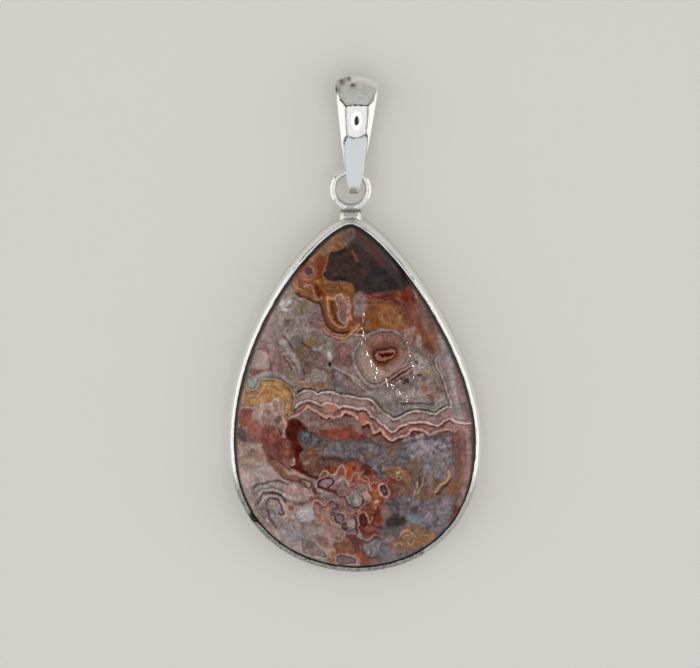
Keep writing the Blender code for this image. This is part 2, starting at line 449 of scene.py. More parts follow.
def patch(outline, soft, stretch):
    # The points in and near an outline, how well it covers them, and their places for a stretched noise.
    # Stretch is how much longer than its size the noise is along and across, and its turn in degrees.
    soft = penWidths(soft)[0]
    outline = throughPoints(placed(canvas["sheet"], outline), closed=True)
    index = near(outline, soft)
    x, y = canvas["x"][index], canvas["y"][index]
    along, across = turnedPlace(x, y, stretch[2])
    return index, cover(loopDistance(x, y, outline), soft), along / stretch[0], across / stretch[1]


def mottle(outline, colour, size, level=0.5, spread=0.25, strength=1.0, soft=40, seed=5,
           stretch=(1.0, 1.0, 0.0)):
    # Lays patches of a colour where noise is above a level, inside an outline
    index, inside, along, across = patch(outline, soft, stretch)
    value = layeredNoise(along, across, penWidths(size)[0], seed)
    layOn(index, strength * inside * np.clip((value - level) / spread + 0.5, 0.0, 1.0), colour)


def lace(outline, bands, size, strength=1.0, soft=20, edge=0.08, seed=9, stretch=(1.0, 1.0, 0.0)):
    # Lays nested winding bands, as contour lines of a noise. Bands are (noise level, colour), rising.
    index, inside, along, across = patch(outline, soft, stretch)
    size = penWidths(size)[0]
    value = (0.72 * valueNoise(along, across, size, seed)
             + 0.28 * valueNoise(along, across, size * 0.45, seed + 1))
    for level, colour in bands:
        layOn(index, strength * inside * np.clip((value - level) / edge + 0.5, 0.0, 1.0), colour)


# How the finished pattern is bent and grained. Sizes and reaches are in pixels of the photograph.
wobbling = {
    "reach": 0.8,
    "moreLowDown": 0.5,
    "lowDown": (440.0, 460.0),
    "size": 8.0,
    "fineReach": 0.5,
    "fineSize": 2.6,
}

grainCloud = {
    "fine": (2.6, 0.6),                       # size and depth
    "broad": (8.0, 0.45),
    "warmSize": 5.0,
    "warmTint": (0.24, 0.0, -0.2),
    "flowSizes": (13.0, 6.0, 10.0),
    "flowDepth": 0.09,
    "curlSize": 7.0,
    "curls": ((231, -0.4), (233, -0.32), (235, 0.26), (237, 0.2)),    # seed, and depth of dark or light
    "tint": (1.04, 1.0, 0.99),
}


def wobble(across, down):
    # Bends every line a little, as in a natural stone, and more in the lacy lower half
    first, last = wobbling["lowDown"]
    reach = wobbling["reach"] + wobbling["moreLowDown"] * np.clip((down - first) / (last - first), 0.0, 1.0)
    for axis, along, seed in (("x", across, 201), ("y", down, 203)):
        broad = 2 * layeredNoise(across, down, wobbling["size"], seed) - 1
        fine = 2 * valueNoise(across, down, wobbling["fineSize"], seed + 4) - 1
        canvas[axis] = along + reach * broad + wobbling["fineReach"] * fine


def addGrain(across, down):
    # Cloudy light and dark, fine flow lines, curling lines, and warm and cool, over everything
    broadFlow, fineFlow, flowPatches = [
        valueNoise(across, down, size, seed) for size, seed in zip(grainCloud["flowSizes"], (219, 221, 223))]
    flow = np.sin(20.0 * broadFlow + 9.0 * fineFlow) * np.clip(3.0 * flowPatches - 0.8, 0.0, 1.0)
    light = 1.0 + grainCloud["flowDepth"] * flow
    for (size, depth), seed in ((grainCloud["fine"], 211), (grainCloud["broad"], 213)):
        light += depth * (layeredNoise(across, down, size, seed) - 0.5)
    for seed, depth in grainCloud["curls"]:
        contour = layeredNoise(across, down, grainCloud["curlSize"] + 2.0 * abs(depth), seed)
        line = np.exp(-((contour - 0.5) / 0.035) ** 2) + np.exp(-((contour - 0.62) / 0.03) ** 2)
        where = np.clip(2.5 * valueNoise(across, down, 14.0, seed + 1) - 0.5, 0.0, 1.0)
        light *= 1.0 + depth * np.clip(line, 0.0, 1.0) * where
    warm = layeredNoise(across, down, grainCloud["warmSize"], 217) - 0.5
    canvas["colour"] *= light[:, None] * np.array(grainCloud["tint"])
    canvas["colour"] *= 1.0 + warm[:, None] * np.array(grainCloud["warmTint"])


def paintAgate(across, down):
    # The colour of each place of the stone, from where it comes in the photograph
    wobble(across, down)
    canvas["colour"] = np.empty((len(across), 3))
    canvas["colour"][:] = linear("#84716b")[:3]
    paintGround()
    paintTip()
    paintLeftSide()
    paintFinger()
    paintRightSide()
    paintEye()
    paintFortification()
    paintRightStrip()
    paintPinkLines()
    paintQuartz()
    paintArch()
    paintLowerLeft()
    paintUnderQuartz()
    paintCurl()
    paintLowerMiddle()
    paintLowerRight()
    addGrain(across, down)
    return np.clip(canvas["colour"], 0.003, 1.0)


def paintGround():
    left = [(215, 470), (215, 300), (330, 210), (365, 330), (380, 470)]
    takeSheet("whole")
    mottle(left, "#8a736d", 14, 0.5, 0.4, 0.8, 6)
    lace(left, [(0.4, "#8b7570"), (0.5, "#7b635d"), (0.58, "#968681"), (0.66, "#6f5953")], 11, 0.6, 6, 0.1,
        seed=8)
    lace([(360, 330), (470, 300), (480, 440), (330, 440)], [(0.4, "#8b7a76"), (0.5, "#7a6560"),
        (0.58, "#958783"), (0.66, "#6c5955")], 9, 0.6, 6, 0.1, seed=10)


def paintTip():
    rust = [(300, 1000), (250, 700), (500, 300), (900, 0), (1300, -120), (1500, -100), (1800, 300),
        (2600, 900), (2600, 1500), (1500, 1420), (1307, 1412), (1200, 1420), (1130, 1408), (1060, 1380),
        (1000, 1320), (960, 1250), (935, 1180), (920, 1100), (900, 1030), (850, 1030), (800, 1000),
        (740, 960), (700, 935), (660, 940), (610, 910), (560, 860), (520, 790)]
    takeSheet("upperLeft")
    fill(rust, [(-52, "#57433c"), (-40, "#8a6f68"), (-26, "#a98f85"), (-8, "#43281f"), (22, "#744630"),
        (44, "#8f5f42"), (95, "#835039")], 18, 4, 60)
    mottle([(480, 800), (640, 520), (820, 420), (1100, 740), (1100, 1000), (900, 1000), (640, 900)],
        "#a8704b", 80, 0.5, 0.3, 0.8, seed=11)
    mottle([(480, 800), (640, 520), (820, 420), (1000, 740), (900, 900), (640, 900)], "#875a48", 60, 0.56,
        0.25, 0.7, seed=13)
    fill([(700, 420), (820, 330), (960, 180), (1100, 60), (1300, 20), (1350, 100), (1280, 230), (1150, 330),
        (1030, 350), (960, 400), (860, 410), (780, 470)], "#966c50", 50, 20, 80)
    mottle([(800, 350), (1100, 60), (1320, 20), (1280, 230), (1030, 350)], "#7d6148", 60, 0.5, 0.3, 0.8,
        seed=15)
    fill([(1200, 20), (1330, 0), (1370, 110), (1290, 200), (1220, 140)], "#6f5845", 50, 30, 60)
    stroke([(1150, 190), (1130, 250), (1160, 290), (1210, 280)], 42, "#8b4d28", 34, 14, 60)
    fill([(880, 400), (960, 400), (985, 480), (965, 560), (930, 600), (950, 690), (900, 760), (860, 680),
        (870, 560), (850, 470)], "#7f3c20", 36, 14, 60)
    fill([(850, 790), (900, 760), (960, 830), (950, 900), (900, 940), (860, 900)], "#6f3015", 36, 12, 60)
    fill([(880, 700), (960, 720), (1080, 750), (1040, 830), (960, 850), (900, 790)], "#8d6231", 36, 12, 60)
    disc((892, 736), (18, 16), 0, "#b98a3c", 12, 3)
    fill([(960, 745), (1080, 745), (1350, 745), (1380, 800), (1200, 850), (1050, 830)], "#936c55", 34, 12,
        60)
    mottle([(1000, 760), (1360, 760), (1360, 900), (1050, 880)], "#7c4a2b", 50, 0.5, 0.3, 0.9, 30, seed=17,
        stretch=(2.0, 0.8, -15))
    disc((768, 606), (112, 104), 0, [(0, "#96614a"), (16, "#83513f"), (34, "#a3796b"), (42, "#8b6a62"),
        (52, "#60474a"), (64, "#503c3c")], 12, 4)
    for bend in ([(705, 800), (800, 790), (822, 850), (850, 930), (880, 975)], [(880, 965), (960, 945),
            (1020, 925), (1032, 885)], [(560, 740), (620, 820), (700, 860)]):
        stroke(bend, 12, "#c2906a", 11, 3, 40)
    for bend in ([(690, 690), (720, 740), (800, 750)], [(610, 640), (640, 720), (700, 780)], [(740, 490),
            (820, 500), (870, 560)]):
        stroke(bend, 20, "#7a4230", 16, 5, 40, strength=0.8)
    for bend in ([(690, 690), (730, 715), (790, 710)], [(760, 430), (800, 440), (830, 480)]):
        stroke(bend, 14, "#b98d7c", 12, 4, 40, strength=0.8)
    chocolate = [(1290, 100), (1330, 60), (1480, 0), (1760, 160), (2040, 440), (2260, 760), (2200, 860),
        (2050, 880), (1990, 900), (1880, 925), (1780, 940), (1660, 960), (1560, 950), (1470, 940),
        (1400, 960), (1372, 890), (1320, 760), (1150, 735), (1060, 730), (1000, 700), (965, 660),
        (970, 620), (1000, 590), (990, 555), (1010, 500), (1020, 430), (1040, 375), (1100, 345),
        (1180, 320), (1240, 270), (1290, 200)]
    fill(chocolate, [(-16, "#8d6a5a"), (0, "#4a2a24"), (16, "#33282a"), (60, "#3f3230")], 16, 8, 60)
    mottle(chocolate, "#453431", 120, 0.5, 0.35, 0.7, seed=21)
    takeSheet("upperRight")
    mottle([(100, 150), (320, 250), (620, 620), (700, 800), (420, 660), (240, 420)], "#54292a", 70, 0.5,
        0.25, 0.8, 50, seed=25, stretch=(2.4, 0.8, 52))
    fill([(250, 680), (400, 640), (560, 680), (680, 760), (660, 860), (500, 900), (300, 900), (230, 800)],
        "#33302f", 80, 24, 90, strength=0.85)
    fill([(330, 690), (420, 670), (470, 730), (420, 820), (340, 790)], "#343537", 70, 20, 60, strength=0.7)
    stroke([(430, 420), (520, 520), (600, 620)], 50, "#5a4a50", 60, 16, 60, strength=0.7)
    stroke([(90, 450), (125, 490), (135, 550)], 34, "#7a4a3c", 26, 10, 40)
    fill([(90, 130), (150, 120), (230, 210), (200, 250), (130, 230)], "#5c2d2b", 40, 12, 60)
    stroke([(95, 130), (100, 230), (70, 300), (20, 360)], 46, "#7d6a66", 60, 30, 50, strength=0.6)
    fill([(-30, 110), (50, 110), (60, 220), (20, 320), (-60, 330), (-80, 200)], "#705846", 50, 30, 60)
    brick = [(190, 935), (330, 960), (520, 930), (700, 900), (810, 840), (900, 960), (1050, 1180),
        (1200, 1460), (1000, 1500), (850, 1400), (680, 1350), (560, 1200), (420, 1080), (260, 1050),
        (180, 1020)]
    fill(brick, "#7b4638", 40, 14, 70)
    mottle(brick, "#643227", 70, 0.5, 0.3, 0.8, seed=31, stretch=(1.8, 0.8, 40))
    mottle(brick, "#935a45", 60, 0.6, 0.25, 0.7, seed=32, stretch=(1.8, 0.8, 40))
    fill([(690, 960), (760, 920), (790, 980), (760, 1040), (700, 1020)], "#84301f", 30, 10)
    stroke([(840, 900), (860, 970), (840, 1010)], 28, "#a07264", 24, 8)
    stroke([(830, 1010), (850, 1040)], 34, "#54222a", 24, 8)
    for bend in ([(250, 955), (330, 978), (430, 990), (520, 980)], [(240, 1000), (330, 1010), (420, 1005),
            (520, 1020)], [(280, 1062), (400, 1058), (500, 1080), (540, 1120)]):
        stroke(bend, 20, "#5a2520", 16, 5, 50, strength=0.9)
        stroke([(px, py + 20) for px, py in bend], 12, "#a9705c", 12, 4, 50, strength=0.8)
    fill([(110, 960), (200, 930), (260, 990), (250, 1080), (220, 1180), (130, 1220), (70, 1150),
        (80, 1040)], "#856f6d", 60, 40, 60)
    mottle([(110, 960), (260, 970), (240, 1200), (90, 1200)], "#9c8884", 44, 0.52, 0.3, 0.8, 30, seed=37)


def paintLeftSide():
    grey = [(400, 980), (500, 790), (590, 930), (700, 960), (780, 1020), (890, 1055), (925, 1200),
        (1000, 1350), (1060, 1440), (1200, 1560), (1300, 1700), (900, 1760), (520, 1600), (380, 1420),
        (300, 1300), (300, 1150)]
    takeSheet("upperLeft")
    fill(grey, "#8a7a73", 44, 14, 60)
    mottle(grey, "#a4958f", 70, 0.5, 0.25, 0.8, 30, seed=41)
    lace(grey, [(0.34, "#705f58"), (0.4, "#a0928c"), (0.47, "#78675c"), (0.52, "#b0a39e"),
        (0.58, "#83726b"), (0.65, "#b5aaa6"), (0.7, "#6c5b54")], 58, 0.85, 40, 0.09, seed=43)
    mottle([(560, 960), (760, 1000), (720, 1150), (600, 1180), (480, 1050)], "#83704f", 50, 0.52, 0.25, 0.6,
        seed=44)
    mottle([(780, 1080), (900, 1080), (990, 1380), (860, 1440), (760, 1280)], "#8a6b6c", 60, 0.45, 0.3, 0.8,
        seed=45)
    mottle([(400, 990), (520, 980), (530, 1110), (400, 1110)], "#c6c3c0", 36, 0.52, 0.2, 0.9, 24, seed=46)
    fill([(560, 1440), (640, 1440), (720, 1500), (700, 1600), (600, 1580), (530, 1500)], "#5f5855", 60, 20,
        60, strength=0.8)
    pink = [(60, 1568), (180, 1330), (290, 1180), (380, 1300), (470, 1450), (560, 1570), (640, 1700),
        (560, 1900), (100, 1900)]
    fill(pink, "#8f7773", 50, 14, 70)
    lace(pink, [(0.42, "#a08a86"), (0.5, "#7d5f5b"), (0.57, "#998380"), (0.66, "#6f504d")], 110, 0.7, 50,
        0.09, seed=47, stretch=(0.7, 1.8, -28))
    stroke([(440, 1450), (500, 1520), (560, 1600)], 24, "#4c3432", 22, 8, 50)
    takeSheet("leftMiddle")
    fill([(330, 130), (420, 110), (470, 160), (490, 260), (480, 345), (400, 355), (280, 340), (290, 250)],
        [(-12, "#6f463d"), (2, "#a58a86"), (30, "#a8918e")], 16, 6, 50)
    fill([(530, 150), (640, 160), (700, 300), (720, 400), (600, 400), (530, 340), (510, 240)], "#90706b",
        40, 14, 50, strength=0.8)
    fill([(270, 340), (400, 365), (390, 400), (320, 420), (250, 400)], "#7d4a3f", 20, 8)
    stroke([(640, 30), (690, 90), (740, 160), (800, 250), (850, 350)], 70, "#a39894", 30, 10, 60)
    stroke([(720, 180), (760, 250), (800, 320), (820, 380)], 16, "#6b5c57", 14, 5)
    stroke([(662, 190), (690, 250), (730, 290), (765, 350)], 18, "#41312f", 14, 5)
    stroke([(560, 20), (640, 80), (690, 130)], 18, "#77605c", 16, 6)
    brown = [(840, 80), (1000, 100), (1150, 190), (1180, 330), (1000, 400), (900, 400), (860, 280),
        (800, 160)]
    fill(brown, "#7a625a", 50, 16, 60)
    lace(brown, [(0.42, "#6a544a"), (0.5, "#85695f"), (0.57, "#927d74"), (0.63, "#5f4a42")], 70, 0.8, 40,
        0.09, seed=48)
    disc((850, 120), (50, 70), 20, "#665742", 50, 14)
    disc((1000, 30), (90, 50), 0, "#80694c", 70, 36)
    stroke([(880, 20), (940, 70), (1010, 100)], 22, "#4b3026", 18, 6)
    stroke([(1010, 100), (1080, 120), (1110, 80), (1150, 60), (1190, 100), (1200, 160)], 16, "#b5a9a2", 14,
        5)
    blush = [(1270, 70), (1420, 60), (1500, 180), (1480, 300), (1400, 330), (1270, 250)]
    fill(blush, "#8a6863", 60, 30)
    mottle(blush, "#744e4e", 44, 0.55, 0.25, 0.8, 30, seed=49)
    mottle([(1280, 300), (1500, 380), (1568, 560), (1300, 520)], "#8c8288", 70, 0.5, 0.3, 0.8, 50, seed=50)
    disc((1240, 440), (46, 56), 0, [(0, "#98766f"), (20, "#735049")], 16, 5, strength=0.7)
    disc((1216, 195), (28, 52), -6, "#bdb8b4", 20, 8)
    disc((1212, 292), (30, 38), 0, [(-8, "#8e8681"), (3, "#2a2b29")], 12, 3)
    stroke([(1240, 300), (1320, 350), (1420, 400), (1500, 440), (1560, 490)], 15, "#b3a39c", 13, 4)
    stroke([(1260, 340), (1340, 390), (1440, 440)], 16, "#6a554c", 14, 4, strength=0.7)


def paintFinger():
    # Nested bands, open at the top, round a long pink patch
    lobe = [(940, 880), (1010, 860), (1100, 880), (1330, 880), (1370, 1000), (1376, 1150), (1350, 1290),
        (1290, 1390), (1200, 1415), (1120, 1395), (1050, 1350), (1000, 1280), (960, 1190), (940, 1080)]
    takeSheet("upperLeft")
    fill(lobe, [(18, "#82503a"), (56, "#955f42"), (72, "#c29270"), (90, "#8a5436"), (116, "#5f3620"),
        (150, "#7a4a34")], 16, 5, 70)
    fill([(930, 800), (1120, 780), (1330, 790), (1340, 880), (1200, 905), (1100, 920), (1040, 900)],
        "#7d5130", 50, 16, 60)
    mottle([(930, 800), (1330, 790), (1340, 900), (1100, 960)], "#9a6a42", 50, 0.54, 0.25, 0.8, 30, seed=51)
    finger = [(1120, 930), (1150, 905), (1190, 905), (1220, 940), (1240, 980), (1270, 1050), (1287, 1100),
        (1266, 1150), (1272, 1230), (1255, 1270), (1215, 1285), (1180, 1250), (1160, 1200), (1140, 1165),
        (1152, 1100), (1130, 1030), (1112, 970)]
    fill(finger, [(-7, "#be9686"), (9, "#8d6760")], 10, 3)
    stroke([(1200, 960), (1215, 1060), (1205, 1180)], 22, "#9d7a72", 26, 8, 50, strength=0.7)
    stroke([(1310, 1040), (1305, 1150), (1320, 1230)], 20, "#b5917c", 14, 5)
    for lift, colour, width in ((34, "#8f6244", 28), (60, "#bd9270", 20), (82, "#6d4c3e", 15),
            (100, "#a78f84", 14)):
        under = [(950 - lift * 0.8, 1240 + lift * 0.6), (1010 - lift * 0.4, 1335 + lift),
            (1080, 1395 + lift), (1160, 1420 + lift), (1260, 1410 + lift), (1330 + lift * 0.3, 1340 + lift),
            (1385 + lift * 0.6, 1240 + lift)]
        stroke(under, width, colour, 14, 4, 50)


def paintEye():
    # An orange cloud, and under it an egg: rings that turn from its outline to that of its dark red core
    cloud = [(300, 70), (420, 10), (560, 40), (700, 90), (850, 190), (830, 290), (720, 330), (600, 345),
        (480, 335), (370, 345), (300, 310), (270, 200)]
    takeSheet("eye")
    fill(cloud, "#81553c", 60, 20, 60)
    mottle([(320, 120), (460, 110), (500, 290), (360, 320)], "#93541f", 60, 0.46, 0.3, 0.9, 30, seed=151)
    lace([(430, 80), (620, 90), (760, 200), (720, 310), (480, 310)], [(0.42, "#8f6040"), (0.5, "#a5774f"),
        (0.57, "#85502c"), (0.64, "#9c7450")], 60, 0.8, 40, 0.1, seed=152, stretch=(0.7, 1.6, -35))
    fill([(700, 40), (840, 30), (880, 180), (800, 290), (720, 260), (700, 150)], "#794c40", 40, 14, 60)
    outline = [(490, 322), (590, 332), (668, 372), (725, 440), (760, 540), (762, 640), (725, 735),
        (645, 830), (560, 915), (450, 985), (350, 985), (262, 915), (200, 800), (162, 690), (160, 590),
        (205, 500), (280, 410), (380, 345)]
    core = [(490, 570), (560, 562), (605, 568), (618, 585), (612, 610), (598, 630), (575, 645), (545, 655),
        (510, 660), (470, 667), (440, 665), (425, 650), (408, 630), (398, 615), (400, 605), (408, 592),
        (425, 580), (450, 573)]
    rings = [(0.0, "#6d5b58"), (0.03, "#a39590"), (0.11, "#887976"), (0.16, "#665350"), (0.21, "#97857d"),
        (0.26, "#7f6a60"), (0.31, "#a38c82"), (0.38, "#8c6f64"), (0.44, "#a08678"), (0.51, "#8d7064"),
        (0.58, "#9a7a68"), (0.65, "#825f4e"), (0.71, "#8c6653"), (0.77, "#734a3a"), (0.84, "#5f382c"),
        (0.9, "#45241a"), (0.965, "#a0705f"), (1.09, "#4b120b")]
    outline = [(510 + (x - 510) * 1.09, y) for x, y in outline]
    for part, colour in rings:
        ring = [(x + (cx - x) * part, y + (cy - y) * part) for (x, y), (cx, cy) in zip(outline, core)]
        fill(ring, colour, 8, 6, 50)
    fill([(240, 470), (330, 390), (490, 340), (640, 370), (730, 460), (760, 640), (690, 620), (640, 540),
        (490, 520), (370, 540)], "#7a4a38", 60, 16, 80, strength=0.45)
    fill([(230, 600), (300, 560), (350, 640), (400, 740), (520, 800), (480, 900), (380, 900), (280, 800)],
        "#b09a8e", 50, 16, 80, strength=0.45)
    takeSheet("rightMiddle")
    for shift, colour, width in ((-30, "#a0827c", 15), (-14, "#6a3f3c", 14), (2, "#9f7d78", 14),
            (18, "#4f2828", 17), (34, "#a07f79", 14), (50, "#5e3c3a", 13)):
        stroke([(430 + shift, 470 + shift), (540 + shift, 390 + shift), (690 + shift, 300 + shift)], width,
            colour, 11, 3, 50)
    disc((640, 470), (48, 30), -25, "#453a37", 20, 8)
    disc((800, 400), (36, 18), -20, "#4f4341", 20, 8)
    # The bands left of the egg that run down to a corner under it
    takeSheet("eye")
    stroke([(0, 790), (60, 815), (120, 860), (180, 920), (240, 980), (330, 1040), (460, 1110)], 13,
        "#b09a92", 12, 4, 40)
    stroke([(0, 830), (60, 850), (130, 905), (200, 975), (300, 1040)], 12, "#6a5654", 12, 4, 40)


def paintRightSide():
    lilac = [(700, 150), (780, 180), (880, 240), (960, 330), (960, 480), (860, 560), (760, 520), (730, 380),
        (720, 260)]
    takeSheet("rightMiddle")
    fill(lilac, "#9a8884", 44, 20)
    lace(lilac, [(0.42, "#ab9c97"), (0.5, "#88756f"), (0.57, "#a59590"), (0.64, "#76625d")], 64, 0.8, 40,
        0.09, seed=61)
    disc((832, 288), (44, 42), 0, [(0, "#aaa19e"), (18, "#857a78")], 14, 5)
    disc((772, 262), (18, 20), 0, "#5d5353", 14, 5)
    disc((900, 382), (72, 40), -10, "#a28e77", 40, 14)
    mottle([(740, 430), (960, 420), (1040, 560), (900, 620), (760, 560)], "#78655f", 60, 0.48, 0.3, 0.8,
        seed=63, stretch=(1.8, 0.8, -10))
    takeSheet("upperRight")
    fill([(680, 1350), (760, 1320), (850, 1340), (840, 1470), (800, 1568), (720, 1568), (690, 1450)],
        [(0, "#7d5a50"), (14, "#9d7f76")], 30, 10)
    right = [(860, 1100), (960, 1080), (1120, 1330), (1280, 1568), (1150, 1650), (1080, 1560), (980, 1440),
        (880, 1300)]
    fill(right, "#6c4540", 44, 14, 70)
    mottle(right, "#7f584e", 60, 0.5, 0.25, 0.9, 30, seed=64, stretch=(0.7, 1.8, -25))
    mottle(right, "#5e3c38", 50, 0.6, 0.22, 0.8, 30, seed=65, stretch=(0.7, 1.8, -25))
    takeSheet("rightMiddle")
    fill([(1000, -60), (1110, -40), (1180, 90), (1220, 220), (1150, 240), (1060, 130)], "#8a807d", 44, 14)
    fill([(840, -80), (950, -80), (1010, 0), (1020, 110), (960, 170), (880, 130), (840, 20)], "#80553f", 30,
        10)
    disc((940, 20), (46, 74), -20, [(0, "#8c5a3c"), (20, "#96602f")], 40, 24)
    disc((800, 20), (36, 90), -10, "#a58d88", 30, 10)
    disc((735, 10), (16, 40), 0, "#8f5a3e", 24, 12)


def closedBelow(line):
    # Closes a line across the stone by going round outside it, below.
    return [(150.0, line[0][1])] + line + [(560.0, line[-1][1]), (560.0, 650.0), (150.0, 650.0)]


archTop = placed("arch", [(60, 400), (200, 335), (250, 318), (300, 340), (350, 400), (425, 462), (450, 400),
    (490, 335), (570, 285), (690, 262), (800, 272), (920, 312), (1020, 372), (1110, 460), (1170, 550),
    (1205, 585)])
mainLine = placed("bandsLeft", [(165, 380), (215, 330), (270, 305), (340, 295), (410, 308), (460, 335),
    (505, 350), (560, 325), (640, 312), (720, 320), (790, 340), (850, 370), (900, 380), (960, 378),
    (1040, 392), (1100, 410), (1160, 420), (1230, 415), (1300, 432), (1360, 465), (1410, 510), (1450, 570),
    (1500, 620)])
mainLine += placed("bandsRight", [(60, 985), (130, 1030), (205, 1088), (240, 1086), (300, 1060),
    (370, 1020), (450, 980), (550, 965), (650, 965), (740, 975), (800, 1000), (870, 1005), (930, 960),
    (1000, 920), (1060, 897), (1112, 892)])
secondLine = placed("bandsLeft", [(70, 612), (130, 560), (200, 500), (270, 460), (340, 452), (410, 465),
    (470, 490), (520, 512), (560, 522), (600, 500), (660, 490), (720, 495), (760, 515), (800, 550),
    (825, 578), (860, 550), (910, 540), (970, 545), (1040, 550), (1100, 570), (1160, 585), (1230, 580),
    (1280, 605), (1310, 650), (1350, 700), (1420, 735)])
secondLine += placed("bandsRight", [(0, 1160), (60, 1185), (105, 1230), (190, 1295), (235, 1275),
    (300, 1215), (380, 1180), (450, 1150), (540, 1135), (650, 1135), (740, 1150), (820, 1180), (900, 1190),
    (960, 1150), (1010, 1110), (1090, 1085), (1150, 1100), (1200, 1140), (1300, 1150), (1420, 1150)])
thirdLine = placed("bandsLeft", [(0, 765), (60, 722), (120, 715), (180, 672), (235, 655), (285, 600),
    (342, 545), (400, 582), (470, 625), (530, 672), (590, 705), (640, 720), (660, 690), (700, 690),
    (740, 735), (790, 700), (850, 705), (885, 650), (940, 628), (1000, 640), (1060, 665), (1105, 705),
    (1130, 780), (1200, 830), (1280, 790), (1330, 810), (1345, 880), (1360, 960), (1420, 950), (1470, 905),
    (1515, 920), (1540, 985)])
thirdLine += placed("bandsRight", [(45, 1270), (75, 1345), (130, 1392), (190, 1420), (260, 1392),
    (330, 1368), (430, 1332), (480, 1262), (540, 1232), (620, 1250), (700, 1272), (745, 1300), (790, 1352),
    (830, 1312), (900, 1290), (980, 1272), (1040, 1242), (1100, 1252), (1150, 1302), (1200, 1262),
    (1280, 1252), (1420, 1262)])


rightLine = placed("rightMiddle", [(1165, 775), (1160, 700), (1110, 560), (1070, 430), (1020, 340),
    (985, 245), (1000, 185), (900, 178), (850, 110), (800, 40), (700, -60), (1300, -400)])


def paintRightStrip():
    # Mauve stripes that rise along the right rim
    strip = rightLine[:7] + placed("rightMiddle", [(1060, 150), (1130, 90), (1250, 250), (1400, 650),
        (1480, 830), (1180, 830)])
    takeSheet("whole")
    fill(strip, "#8d7877", 1.2, 0.8, 6)
    rise = rightLine[:8]
    for shift, colour, width in ((-6.4, "#8a7a76", 1.2), (-4.9, "#6f5a56", 0.9), (-3.9, "#a8958f", 1.0),
            (-2.8, "#6a524e", 0.9), (-1.5, "#5a4643", 1.0), (0.0, "#bdaea6", 1.5), (1.4, "#5f4644", 1.3),
            (3.2, "#93807f", 2.2), (5.0, "#7b6060", 0.9)):
        stroke([(px + shift, py) for px, py in rise], width, colour, 0.9, 0.5, 8, strength=0.85)
    takeSheet("rightMiddle")
    stroke([(1130, 190), (1160, 330), (1180, 450), (1215, 620), (1250, 800), (1290, 920)], 44, "#a3969b",
        40, 10, 60)
    stroke([(1200, 250), (1240, 400), (1290, 560), (1330, 740), (1370, 900)], 26, "#82696a", 30, 10, 60)
    stroke([(1225, 400), (1250, 480), (1270, 540)], 30, "#8a504c", 30, 10, 60, strength=0.8)
    stroke([(1290, 600), (1320, 720), (1345, 860), (1350, 980)], 40, "#875c58", 34, 10, 60, strength=0.7)


